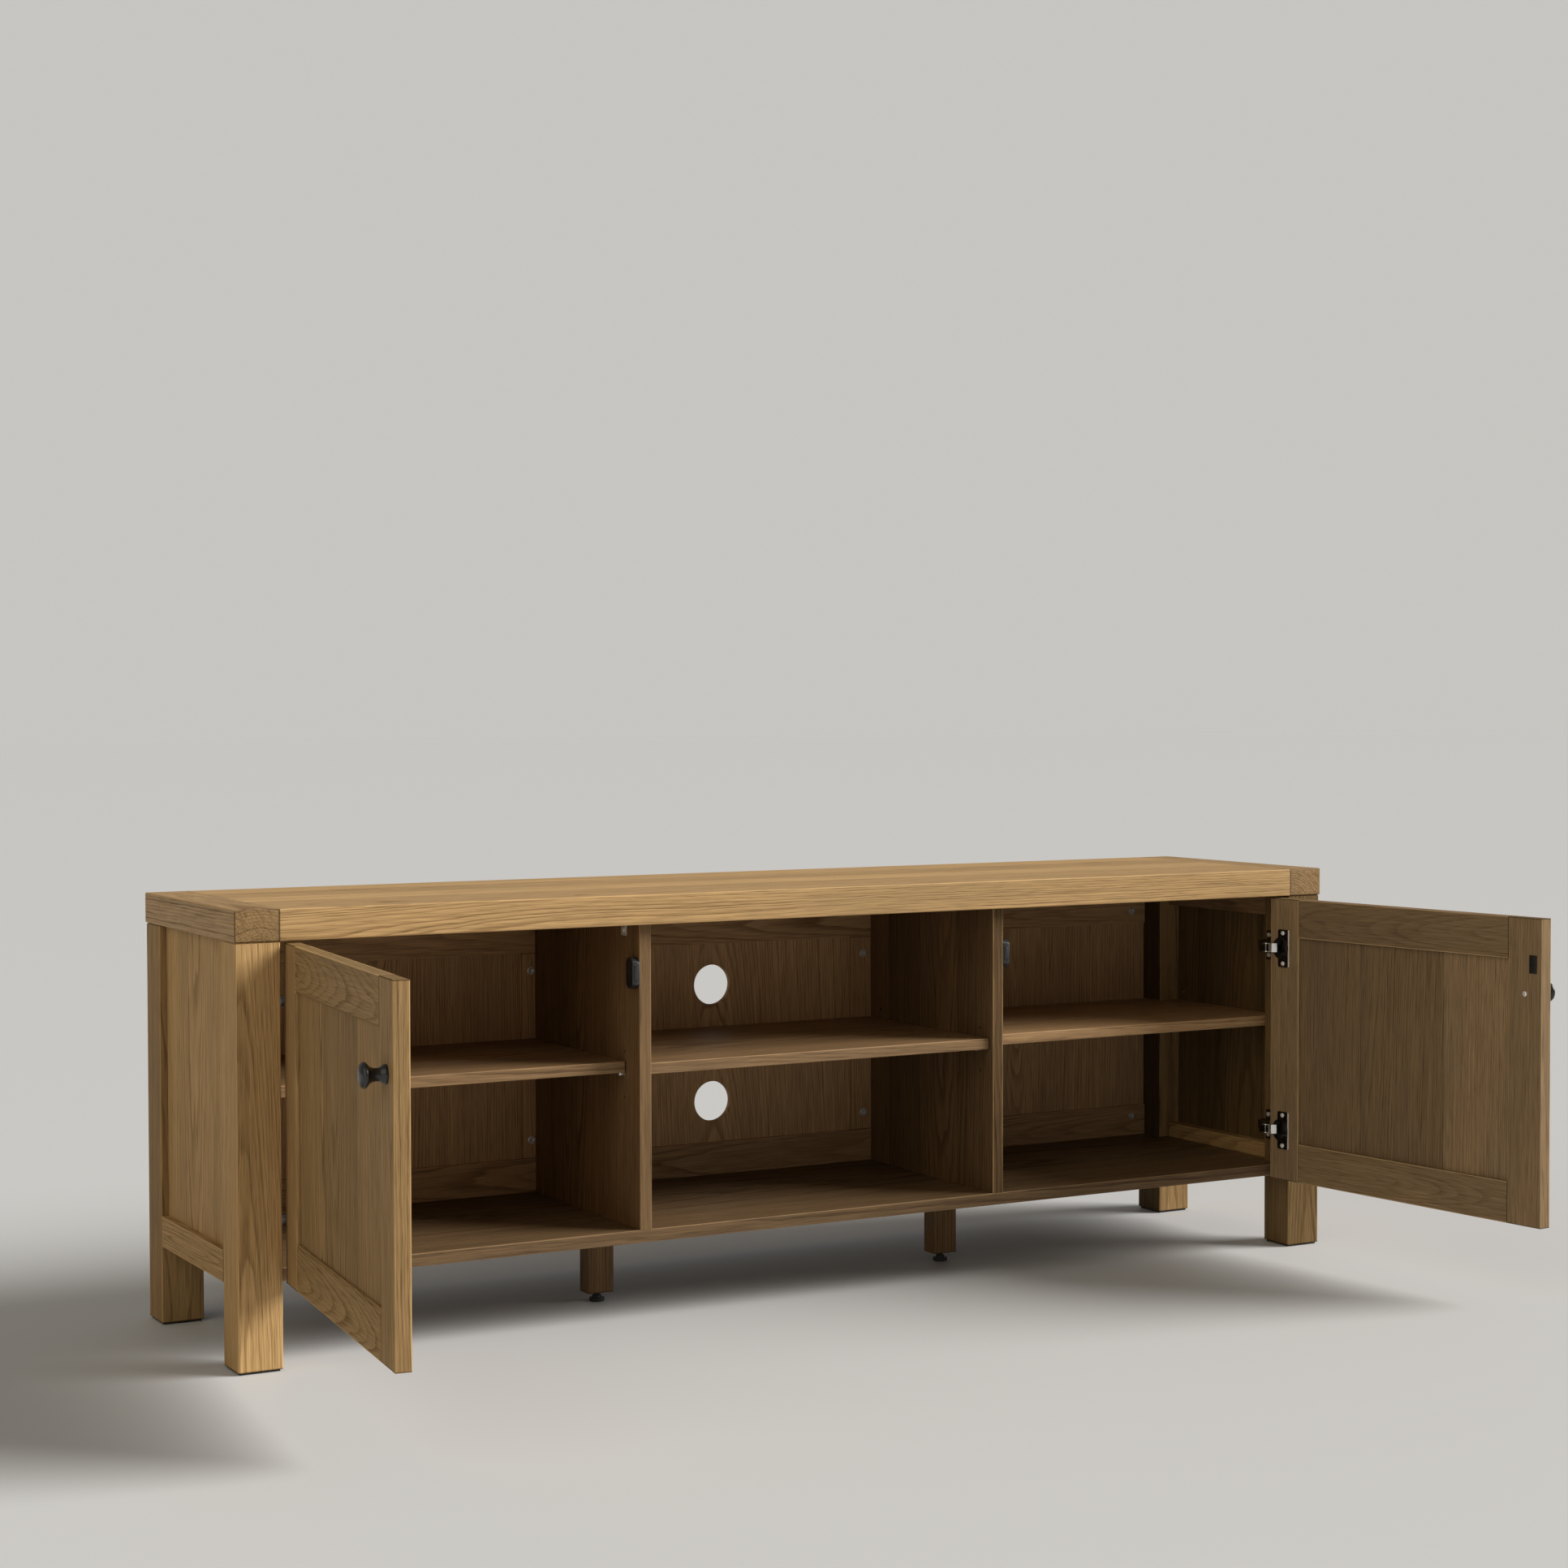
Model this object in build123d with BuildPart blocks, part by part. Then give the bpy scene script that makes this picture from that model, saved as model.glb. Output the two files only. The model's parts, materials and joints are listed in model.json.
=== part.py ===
"""Low oak media cabinet: two doors, three bays, one adjustable shelf in each bay."""
import os

from build123d import *

os.makedirs("parts", exist_ok=True)

# ---------------------------------------------------------------- overall sizes
width = 1780.0            # across the top slab
depth = 400.0             # front to back of the top slab
height = 600.0            # floor to the top surface
top_thickness = 42.0
overhang = 1.5            # slab past the legs on every side
edge_round = 2.0          # softened edges of the slab
arris = 1.2               # softened edges of legs and rails

half_x = width / 2 - overhang     # outer faces of the legs
half_y = depth / 2 - overhang     # front and back faces of the legs
front = -half_y
back = half_y
slab_bottom = height - top_thickness

# ---------------------------------------------------------------- top slab
endcap_width = 60.0
front_board_depth = 142.0
tongue_thick = 10.0
tongue_long = 9.0
groove_deep = 10.0
tongue_slack = 0.2

# ---------------------------------------------------------------- legs
leg_size = 60.0
pad_thick = 3.0
pad_size = 54.0
shadow_gap = 1.5          # rebate round the head of each leg

# ---------------------------------------------------------------- sides
panel_recess = 10.5       # side panel back from the outer face of the legs
side_panel_thick = 10.0
panel_groove = 8.0
side_rail_thick = 42.0
side_rail_low = 111.0
side_rail_high = 153.0
rail_groove = 10.0
top_rail_low = 522.0
top_rail_thick = 21.5
tenon_thick = 18.0
tenon_high = 26.0
tenon_mid_z = 128.0
tenon_long = 24.0

# ---------------------------------------------------------------- carcass
board = 18.0              # bottom panel, dividers and back frame
carcass_setback = 22.5    # carcass front edges behind the front of the legs
bottom_low = 112.0
bottom_high = bottom_low + board
divider_x = 293.5         # middle of each divider from the centre line
dado_deep = 6.0
dado_stop = 12.0
back_face = back - board  # front face of the back frame

# ---------------------------------------------------------------- back frame
back_bottom_rail_high = 180.0
back_top_rail_low = 490.0
muntin_inner = 248.5      # faces of each muntin from the centre line
muntin_outer = 323.0
back_panel_thick = 8.0
back_panel_recess = 5.0
back_groove = 8.0
cable_hole_d = 62.0
cable_hole_z = (244.0, 426.0)
screw_head_r = 6.0
screw_head_h = 2.0
screw_shank_r = 3.0
screw_shank_l = 14.0
screw_hole_r = 3.1
key_r = 2.2
key_deep = 1.4
rail_screw_x = 800.0
rail_screw_z = (162.0, 510.0)
muntin_screw_x = (270.0, 309.5)
muntin_screw_z = (208.0, 463.0)

# ---------------------------------------------------------------- shelves
shelf_thick = 16.0
shelf_low = 345.5
shelf_gap = 1.5
side_shelf_front = 65.0   # from the front of the legs
mid_shelf_front = 31.0
shelf_back_gap = 3.0
pin_pitch = 32.0
pin_z = 343.0
pin_r = 2.4
pin_hole_r = 2.5
pin_in = 6.5
pin_hole_deep = 7.0
pin_out = 9.0
tab_thick = 1.5
tab_wide = 7.0
side_pin_y = (72.0, 347.0)        # holes in the divider, side bay
panel_pin_y = (72.0, 322.0)       # holes in the side panel
mid_pin_y = (57.0, 347.0)         # holes in the divider, middle bay

# ---------------------------------------------------------------- middle legs
mid_leg_wide = 40.0
mid_leg_deep = 30.0
mid_leg_front = 170.0
mid_leg_low = 14.0
foot_r = 11.0
foot_disc = 5.0
foot_boss_r = 6.5
foot_boss_high = 9.0
foot_stem_r = 4.0
foot_stem_high = 32.0
foot_bore_r = 4.3
foot_bore_high = 40.0

# ---------------------------------------------------------------- doors
door_width = 536.0
door_thick = 20.0
door_low = 112.0
door_high = 555.0
door_gap = 1.5            # between the hinge edge and the leg
door_tall = door_high - door_low
frame_member = 60.0
door_panel_thick = 8.0
door_groove = 8.0
door_panel_in = 0.5       # room left in the grooves for the panel to move
bead = 3.0
groove_stop = 10.0
open_angle = 96.0         # how far the doors stand open
pivot_x = 10.5            # swing centre from the inner face of the leg
pivot_y = 2.5             # swing centre behind the front of the leg

# ---------------------------------------------------------------- hinges
hinge_z = (190.0, 477.0)
cup_in = 23.0             # cup centre from the hinge edge
cup_r = 17.4
cup_bore_r = 17.5
cup_deep = 11.8
cup_bore_deep = 12.0
cup_wall = 1.0
flange_near = 17.0
flange_far = 40.5
flange_tall = 59.0
flange_thick = 1.2
flange_round = 3.0
cup_screw_in = 27.5
cup_screw_dz = 24.0
small_screw_r = 1.7
small_hole_r = 1.8
small_screw_l = 9.0
small_head_r = 3.6
small_head_h = 2.0
slot_long = 4.2
slot_wide = 0.9
slot_deep = 0.8
plate_thick = 8.0
plate_front = 32.0
plate_back = 58.0
plate_core = 16.0
wing_thick = 3.0
wing_front = 38.0
wing_back = 52.0
wing_tall = 46.0
wing_screw_dz = 16.0
arm_wide = 14.0
nose_wide = 10.6
link_turn = 75.6          # how far the links turn while the door opens
link_pin_x = 35.2         # link pin from the inner face of the leg
link_pin_y = 13.0         # link pin behind the front of the leg
link_pin_r = 1.25
link_bore_r = 1.32
link_thick = 2.4
link_eye_r = 3.2
cheek_gap = 0.3

# ---------------------------------------------------------------- door furniture
knob_in = 30.0            # from the free edge
knob_z = 446.0
knob_screw_r = 2.0
knob_hole_r = 2.1
knob_screw_l = 32.0
knob_head_r = 4.2
knob_head_h = 2.4
knob_slot_long = 5.0
knob_slot_wide = 1.0
strike_in = 15.0
strike_wide = 13.0
strike_tall = 26.0
strike_thick = 1.2
catch_z = 489.0
catch_wide = 11.0
catch_deep = 21.0
catch_tall = 43.0
catch_front = 22.2
catch_chamfer = 6.0
magnet_wide = 6.0
magnet_tall = 20.0
magnet_out = 0.6
magnet_deep = 4.0
magnet_room = 0.2

# ---------------------------------------------------------------- brackets
bracket_arm = 20.0
bracket_wide = 16.0
bracket_thick = 1.5
bracket_front = 62.0
bracket_screw_drop = 12.0


# ================================================================ top slab
inner_cap_x = width / 2 - endcap_width
seam_y = -depth / 2 + front_board_depth
slab_mid = slab_bottom + top_thickness / 2

with BuildPart() as top_front_board:
    with Locations((0, (seam_y - depth / 2) / 2, slab_mid)):
        Box(2 * inner_cap_x, front_board_depth, top_thickness)
    long_edges = top_front_board.edges().filter_by(Axis.X).group_by(Axis.Y)[0]
    fillet(long_edges, edge_round)
    for end in (-1, 1):
        with Locations((end * (inner_cap_x + tongue_long / 2), (seam_y - depth / 2) / 2, slab_mid)):
            Box(tongue_long, front_board_depth - 40, tongue_thick - tongue_slack)
    with Locations((0, seam_y - groove_deep / 2, slab_mid)):
        Box(2 * inner_cap_x + 40, groove_deep, tongue_thick, mode=Mode.SUBTRACT)
top_front_board.part.label = "top_front_board"
export_step(top_front_board.part, "parts/top_front_board.step")

panel_y = (seam_y + depth / 2) / 2
with BuildPart() as top_panel:
    with Locations((0, panel_y, slab_mid)):
        Box(2 * inner_cap_x, depth / 2 - seam_y, top_thickness)
    fillet(top_panel.edges().filter_by(Axis.X).group_by(Axis.Y)[-1], edge_round)
    for end in (-1, 1):
        with Locations((end * (inner_cap_x + tongue_long / 2), panel_y, slab_mid)):
            Box(tongue_long, depth / 2 - seam_y - 40, tongue_thick - tongue_slack)
    with Locations((0, seam_y - tongue_long / 2, slab_mid)):
        Box(2 * inner_cap_x, tongue_long, tongue_thick - tongue_slack)
top_panel.part.label = "top_panel"
export_step(top_panel.part, "parts/top_panel.step")

with BuildPart() as top_endcap_left:
    with Locations((-(width - endcap_width) / 2, 0, slab_mid)):
        Box(endcap_width, depth, top_thickness)
    fillet(top_endcap_left.edges().filter_by(Axis.Y).group_by(Axis.X)[0], edge_round)
    cap_ends = top_endcap_left.edges().filter_by(Axis.X)
    fillet(cap_ends, edge_round)
    with Locations((-inner_cap_x - groove_deep / 2, 0, slab_mid)):
        Box(groove_deep, depth - 36, tongue_thick, mode=Mode.SUBTRACT)
top_endcap_left.part.label = "top_endcap_left"
export_step(top_endcap_left.part, "parts/top_endcap_left.step")


# ================================================================ legs
leg_x = -half_x + leg_size / 2
leg_face = -half_x + leg_size        # inner face of the left front leg
leg_tall = slab_bottom - pad_thick
rail_mid_z = (side_rail_low + side_rail_high) / 2
rail_x = -half_x + side_rail_thick / 2
tenon_x = -half_x + side_rail_thick / 2
side_panel_x = -half_x + panel_recess + side_panel_thick / 2
side_panel_low = side_rail_high - rail_groove
back_panel_y = back_face + back_panel_recess + back_panel_thick / 2
muntin_tall = back_top_rail_low - back_bottom_rail_high
muntin_z = (back_top_rail_low + back_bottom_rail_high) / 2
back_tenon = 10.0
back_tenon_long = 20.0
plate_screw_y = front + (wing_front + wing_back) / 2
pilot_deep = 11.0
bracket_y = front + bracket_front + bracket_wide / 2
bracket_screw_z = slab_bottom - bracket_screw_drop

for place, face in (("front", -1), ("back", 1)):
    leg_y = face * (half_y - leg_size / 2)
    inner_y = face * (half_y - leg_size)
    with BuildPart() as leg:
        with Locations((leg_x, leg_y, pad_thick + leg_tall / 2)):
            Box(leg_size, leg_size, leg_tall)
        chamfer(leg.edges().filter_by(Axis.Z), arris)
        # shadow line under the slab
        with BuildSketch(Plane.XY.offset(slab_bottom - shadow_gap)):
            with Locations((leg_x, leg_y)):
                Rectangle(leg_size + 2, leg_size + 2)
                Rectangle(leg_size - 2 * shadow_gap, leg_size - 2 * shadow_gap, mode=Mode.SUBTRACT)
        extrude(amount=shadow_gap + 1, mode=Mode.SUBTRACT)
        # groove for the side panel
        groove_z = (side_panel_low + slab_bottom) / 2
        with Locations((side_panel_x, inner_y + face * panel_groove / 2, groove_z)):
            Box(side_panel_thick, panel_groove, slab_bottom - side_panel_low + 0.01, mode=Mode.SUBTRACT)
        # mortise for the bottom rail
        with Locations((tenon_x, inner_y + face * (tenon_long + 1) / 2, tenon_mid_z)):
            Box(tenon_thick, tenon_long + 1, tenon_high, mode=Mode.SUBTRACT)
        if place == "front":
            # pilot holes for the hinge plates
            pilot_x = leg_face - pilot_deep / 2
            for arm_z in hinge_z:
                for way in (-1, 1):
                    with Locations((pilot_x, plate_screw_y, arm_z + way * wing_screw_dz)):
                        Cylinder(small_hole_r, pilot_deep, rotation=(0, 90, 0), mode=Mode.SUBTRACT)
        if place == "back":
            # mortises for the back rails and a groove for the back panel
            back_rails = (
                (bottom_low, back_bottom_rail_high),
                (back_top_rail_low, slab_bottom),
            )
            for rail_low, rail_high in back_rails:
                mortise_z = (rail_low + rail_high) / 2
                with Locations((leg_face - back_tenon_long / 2, back_panel_y, mortise_z)):
                    Box(back_tenon_long + 1, back_tenon, rail_high - rail_low - 20, mode=Mode.SUBTRACT)
            with Locations((leg_face - back_groove / 2, back_panel_y, muntin_z)):
                Box(back_groove, back_panel_thick, muntin_tall + 2 * back_groove, mode=Mode.SUBTRACT)
    leg.part.label = f"leg_{place}_left"
    export_step(leg.part, f"parts/leg_{place}_left.step")
    with BuildPart() as twin:
        mirror(leg.part, about=Plane.YZ)
    twin.part.label = f"leg_{place}_right"
    export_step(twin.part, f"parts/leg_{place}_right.step")

with BuildPart() as leg_pads:
    for end in (-1, 1):
        for face in (-1, 1):
            with Locations((end * leg_x, face * (half_y - leg_size / 2), pad_thick / 2)):
                Box(pad_size, pad_size, pad_thick)
leg_pads.part.label = "leg_pads"
export_step(leg_pads.part, "parts/leg_pads.step")


# ================================================================ sides
side_run = 2 * (half_y - leg_size)

with BuildPart() as side_rail_left:
    with Locations((rail_x, 0, rail_mid_z)):
        Box(side_rail_thick, side_run, side_rail_high - side_rail_low)
    with Locations((side_panel_x, 0, side_rail_high - rail_groove / 2)):
        Box(side_panel_thick, side_run, rail_groove, mode=Mode.SUBTRACT)
    for face in (-1, 1):
        with Locations((tenon_x, face * (side_run + tenon_long) / 2, tenon_mid_z)):
            Box(tenon_thick - tongue_slack, tenon_long, tenon_high - tongue_slack)
side_rail_left.part.label = "side_rail_left"
export_step(side_rail_left.part, "parts/side_rail_left.step")

with BuildPart() as side_panel_left:
    with Locations((side_panel_x, 0, (side_panel_low + slab_bottom) / 2)):
        Box(side_panel_thick, side_run + 2 * panel_groove - 1, slab_bottom - side_panel_low)
    inner_face_x = side_panel_x + side_panel_thick / 2
    for pin_y in panel_pin_y:
        for step in (-1, 0, 1):
            with Locations((inner_face_x - pin_hole_deep / 2, front + pin_y, pin_z + step * pin_pitch)):
                Cylinder(pin_hole_r, pin_hole_deep, rotation=(0, 90, 0), mode=Mode.SUBTRACT)
side_panel_left.part.label = "side_panel_left"
export_step(side_panel_left.part, "parts/side_panel_left.step")

with BuildPart() as side_top_rails:
    for end in (-1, 1):
        with Locations((end * (inner_face_x + top_rail_thick / 2), 0, (top_rail_low + slab_bottom) / 2)):
            Box(top_rail_thick, side_run, slab_bottom - top_rail_low)
side_top_rails.part.label = "side_top_rails"
export_step(side_top_rails.part, "parts/side_top_rails.step")


# ================================================================ carcass
leg_in = half_x - leg_size            # inner faces of the legs
rail_in = half_x - side_rail_thick    # inner faces of the bottom side rails
carcass_front = front + carcass_setback
carcass_deep = back_face - carcass_front
carcass_mid = (back_face + carcass_front) / 2

with BuildPart() as bottom_panel:
    with Locations((0, carcass_mid, bottom_low + board / 2)):
        Box(2 * rail_in, carcass_deep, board)
    chamfer(bottom_panel.edges().filter_by(Axis.X).group_by(Axis.Y)[0], 0.8)
    for end in (-1, 1):
        for face in (-1, 1):
            with Locations((end * half_x, face * half_y, bottom_low + board / 2)):
                Box(2 * leg_size, 2 * leg_size, board + 2, mode=Mode.SUBTRACT)
        # stopped housing for the divider
        dado_long = carcass_deep - dado_stop
        with Locations((end * divider_x, back_face - dado_long / 2, bottom_high - dado_deep / 2)):
            Box(board, dado_long, dado_deep, mode=Mode.SUBTRACT)
bottom_panel.part.label = "bottom_panel"
export_step(bottom_panel.part, "parts/bottom_panel.step")

with BuildPart() as divider_left:
    with Locations((-divider_x, carcass_mid, (bottom_high + slab_bottom) / 2)):
        Box(board, carcass_deep, slab_bottom - bottom_high)
    chamfer(divider_left.edges().filter_by(Axis.Z).group_by(Axis.Y)[0], 0.8)
    with Locations((-divider_x, carcass_mid + dado_stop / 2, bottom_high - dado_deep / 2)):
        Box(board, carcass_deep - dado_stop, dado_deep)
    for face, holes in ((-1, side_pin_y), (1, mid_pin_y)):
        hole_x = -divider_x + face * (board - pin_hole_deep) / 2
        for pin_y in holes:
            for step in (-1, 0, 1):
                with Locations((hole_x, front + pin_y, pin_z + step * pin_pitch)):
                    Cylinder(pin_hole_r, pin_hole_deep, rotation=(0, 90, 0), mode=Mode.SUBTRACT)
    with Locations((-divider_x - (board - pilot_deep) / 2, bracket_y, bracket_screw_z)):
        Cylinder(small_hole_r, pilot_deep, rotation=(0, 90, 0), mode=Mode.SUBTRACT)
divider_left.part.label = "divider_left"
export_step(divider_left.part, "parts/divider_left.step")


# ================================================================ back frame
frame_y = (back_face + back) / 2
muntin_screw_spots = []
for spot_x in muntin_screw_x:
    for spot_z in muntin_screw_z:
        muntin_screw_spots.append((-spot_x, spot_z))
back_screw_spots = list(muntin_screw_spots)
for spot_z in rail_screw_z:
    back_screw_spots.append((-rail_screw_x, spot_z))
bottom_rail_mid_z = (bottom_low + back_bottom_rail_high) / 2
top_rail_mid_z = (back_top_rail_low + slab_bottom) / 2
panel_edge = back_groove - 0.5

with BuildPart() as back_rail_bottom:
    with Locations((0, frame_y, bottom_rail_mid_z)):
        Box(2 * leg_in, board, back_bottom_rail_high - bottom_low)
    for end in (-1, 1):
        with Locations((end * (leg_in + back_tenon_long / 2), back_panel_y, bottom_rail_mid_z)):
            Box(back_tenon_long, back_tenon - tongue_slack, back_bottom_rail_high - bottom_low - 21)
        with Locations((end * rail_screw_x, back_face + screw_shank_l / 2, rail_screw_z[0])):
            Cylinder(screw_hole_r, screw_shank_l + 0.5, rotation=(90, 0, 0), mode=Mode.SUBTRACT)
    with Locations((0, back_panel_y, back_bottom_rail_high - back_groove / 2)):
        Box(2 * leg_in, back_panel_thick, back_groove, mode=Mode.SUBTRACT)
back_rail_bottom.part.label = "back_rail_bottom"
export_step(back_rail_bottom.part, "parts/back_rail_bottom.step")

with BuildPart() as back_rail_top:
    with Locations((0, frame_y, top_rail_mid_z)):
        Box(2 * leg_in, board, slab_bottom - back_top_rail_low)
    for end in (-1, 1):
        with Locations((end * (leg_in + back_tenon_long / 2), back_panel_y, top_rail_mid_z)):
            Box(back_tenon_long, back_tenon - tongue_slack, slab_bottom - back_top_rail_low - 21)
        with Locations((end * rail_screw_x, back_face + screw_shank_l / 2, rail_screw_z[1])):
            Cylinder(screw_hole_r, screw_shank_l + 0.5, rotation=(90, 0, 0), mode=Mode.SUBTRACT)
    with Locations((0, back_panel_y, back_top_rail_low + back_groove / 2)):
        Box(2 * leg_in, back_panel_thick, back_groove, mode=Mode.SUBTRACT)
back_rail_top.part.label = "back_rail_top"
export_step(back_rail_top.part, "parts/back_rail_top.step")

muntin_wide = muntin_outer - muntin_inner
muntin_x = -(muntin_outer + muntin_inner) / 2

with BuildPart() as back_muntin_left:
    with Locations((muntin_x, frame_y, muntin_z)):
        Box(muntin_wide, board, muntin_tall)
    with Locations((muntin_x, back_panel_y, muntin_z)):
        Box(muntin_wide - 2 * back_groove - 4, back_panel_thick, muntin_tall + 2 * panel_edge)
    for end in (-1, 1):
        with Locations((muntin_x + end * (muntin_wide - back_groove) / 2, back_panel_y, muntin_z)):
            Box(back_groove, back_panel_thick, muntin_tall, mode=Mode.SUBTRACT)
    for spot_x, spot_z in muntin_screw_spots:
        with Locations((spot_x, back_face + screw_shank_l / 2, spot_z)):
            Cylinder(screw_hole_r, screw_shank_l + 0.5, rotation=(90, 0, 0), mode=Mode.SUBTRACT)
back_muntin_left.part.label = "back_muntin_left"
export_step(back_muntin_left.part, "parts/back_muntin_left.step")

side_panel_from = -leg_in - panel_edge
side_panel_to = -muntin_outer + panel_edge
back_panel_tall = muntin_tall + 2 * panel_edge

with BuildPart() as back_panel_left:
    with Locations(((side_panel_from + side_panel_to) / 2, back_panel_y, muntin_z)):
        Box(side_panel_to - side_panel_from, back_panel_thick, back_panel_tall)
back_panel_left.part.label = "back_panel_left"
export_step(back_panel_left.part, "parts/back_panel_left.step")

with BuildPart() as back_panel_middle:
    with Locations((0, back_panel_y, muntin_z)):
        Box(2 * (muntin_inner + panel_edge), back_panel_thick, back_panel_tall)
    for hole_z in cable_hole_z:
        with Locations((0, back_panel_y, hole_z)):
            Cylinder(cable_hole_d / 2, 3 * back_panel_thick, rotation=(90, 0, 0), mode=Mode.SUBTRACT)
back_panel_middle.part.label = "back_panel_middle"
export_step(back_panel_middle.part, "parts/back_panel_middle.step")

with BuildPart() as back_screws:
    for spot_x, spot_z in back_screw_spots:
        for end in (-1, 1):
            with Locations((end * spot_x, back_face - screw_head_h / 2, spot_z)):
                Cylinder(screw_head_r, screw_head_h, rotation=(90, 0, 0))
            with Locations((end * spot_x, back_face + screw_shank_l / 2 - 0.5, spot_z)):
                Cylinder(screw_shank_r, screw_shank_l - 1, rotation=(90, 0, 0))
            with Locations((end * spot_x, back_face - screw_head_h + key_deep / 2, spot_z)):
                Cylinder(key_r, key_deep, rotation=(90, 0, 0), mode=Mode.SUBTRACT)
back_screws.part.label = "back_screws"
export_step(back_screws.part, "parts/back_screws.step")


# ================================================================ shelves
shelf_mid_z = shelf_low + shelf_thick / 2
shelf_back = back_face - shelf_back_gap
divider_in = divider_x - board / 2
divider_out = divider_x + board / 2
side_shelf_from = inner_face_x + shelf_gap
side_shelf_to = -divider_out - shelf_gap
side_shelf_y = (front + side_shelf_front + shelf_back) / 2

with BuildPart() as shelf_left:
    with Locations(((side_shelf_from + side_shelf_to) / 2, side_shelf_y, shelf_mid_z)):
        Box(side_shelf_to - side_shelf_from, shelf_back - front - side_shelf_front, shelf_thick)
    chamfer(shelf_left.edges().filter_by(Axis.X).group_by(Axis.Y)[0], 0.8)
    with Locations((-half_x, half_y, shelf_mid_z)):
        Box(2 * (leg_size + shelf_gap), 2 * (leg_size + shelf_gap), shelf_thick + 2, mode=Mode.SUBTRACT)
shelf_left.part.label = "shelf_left"
export_step(shelf_left.part, "parts/shelf_left.step")

with BuildPart() as shelf_middle:
    with Locations((0, (front + mid_shelf_front + shelf_back) / 2, shelf_mid_z)):
        Box(2 * (divider_in - shelf_gap), shelf_back - front - mid_shelf_front, shelf_thick)
    chamfer(shelf_middle.edges().filter_by(Axis.X).group_by(Axis.Y)[0], 0.8)
shelf_middle.part.label = "shelf_middle"
export_step(shelf_middle.part, "parts/shelf_middle.step")

pin_spots = []
for pin_y in panel_pin_y:
    pin_spots.append((inner_face_x, 1, pin_y))
for pin_y in side_pin_y:
    pin_spots.append((-divider_out, -1, pin_y))
for pin_y in mid_pin_y:
    pin_spots.append((-divider_in, 1, pin_y))

with BuildPart() as shelf_pins:
    for wall_x, way, pin_y in pin_spots:
        for end in (-1, 1):
            with Locations((-end * (wall_x + way * (pin_out - pin_in) / 2), front + pin_y, pin_z)):
                Cylinder(pin_r, pin_out + pin_in, rotation=(0, 90, 0))
            tab_x = wall_x + way * (pin_out / 2 + 0.25)
            with Locations((-end * tab_x, front + pin_y, shelf_low - tab_thick / 2)):
                Box(pin_out - 0.5, tab_wide, tab_thick)
shelf_pins.part.label = "shelf_pins"
export_step(shelf_pins.part, "parts/shelf_pins.step")


# ================================================================ middle legs and their feet
mid_leg_y = front + mid_leg_front + mid_leg_deep / 2

with BuildPart() as mid_legs:
    for end in (-1, 1):
        with Locations((end * divider_x, mid_leg_y, (mid_leg_low + bottom_low) / 2)):
            Box(mid_leg_wide, mid_leg_deep, bottom_low - mid_leg_low)
    chamfer(mid_legs.edges().filter_by(Axis.Z), 0.8)
    for end in (-1, 1):
        with Locations((end * divider_x, mid_leg_y, (mid_leg_low + foot_bore_high) / 2)):
            Cylinder(foot_bore_r, foot_bore_high - mid_leg_low, mode=Mode.SUBTRACT)
mid_legs.part.label = "mid_legs"
export_step(mid_legs.part, "parts/mid_legs.step")

with BuildPart() as mid_foot_left:
    with Locations((-divider_x, mid_leg_y, foot_disc / 2)):
        Cylinder(foot_r, foot_disc)
    with Locations((-divider_x, mid_leg_y, foot_boss_high / 2)):
        Cylinder(foot_boss_r, foot_boss_high)
    with Locations((-divider_x, mid_leg_y, foot_stem_high / 2)):
        Cylinder(foot_stem_r, foot_stem_high)
    chamfer(mid_foot_left.edges().group_by(Axis.Z)[0], 0.8)
mid_foot_left.part.label = "mid_foot_left"
export_step(mid_foot_left.part, "parts/mid_foot_left.step")


# ================================================================ magnetic catches
catch_x = -divider_out - catch_wide / 2
catch_y = front + catch_front + catch_deep / 2

with BuildPart() as catch_housings:
    for end in (-1, 1):
        with Locations((end * -catch_x, catch_y, catch_z)):
            Box(catch_wide, catch_deep, catch_tall)
    chamfer(catch_housings.edges().filter_by(Axis.X), catch_chamfer)
    for end in (-1, 1):
        with Locations((end * -catch_x, front + catch_front + magnet_deep / 2, catch_z)):
            Box(magnet_wide, magnet_deep, magnet_tall, mode=Mode.SUBTRACT)
catch_housings.part.label = "catch_housings"
export_step(catch_housings.part, "parts/catch_housings.step")

with BuildPart() as catch_magnets:
    for end in (-1, 1):
        with Locations((end * -catch_x, front + catch_front + (magnet_deep - magnet_out) / 2, catch_z)):
            Box(magnet_wide - magnet_room, magnet_deep + magnet_out, magnet_tall - magnet_room)
catch_magnets.part.label = "catch_magnets"
export_step(catch_magnets.part, "parts/catch_magnets.step")


# ================================================================ brackets under the slab

with BuildPart() as top_brackets:
    for end in (-1, 1):
        face_x = end * divider_out
        with Locations((face_x + end * bracket_thick / 2, bracket_y, slab_bottom - bracket_arm / 2)):
            Box(bracket_thick, bracket_wide, bracket_arm)
        with Locations((face_x + end * bracket_arm / 2, bracket_y, slab_bottom - bracket_thick / 2)):
            Box(bracket_arm, bracket_wide, bracket_thick)
        with Locations((face_x, bracket_y, bracket_screw_z)):
            Cylinder(small_hole_r, 8, rotation=(0, 90, 0), mode=Mode.SUBTRACT)
top_brackets.part.label = "top_brackets"
export_step(top_brackets.part, "parts/top_brackets.step")


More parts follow.
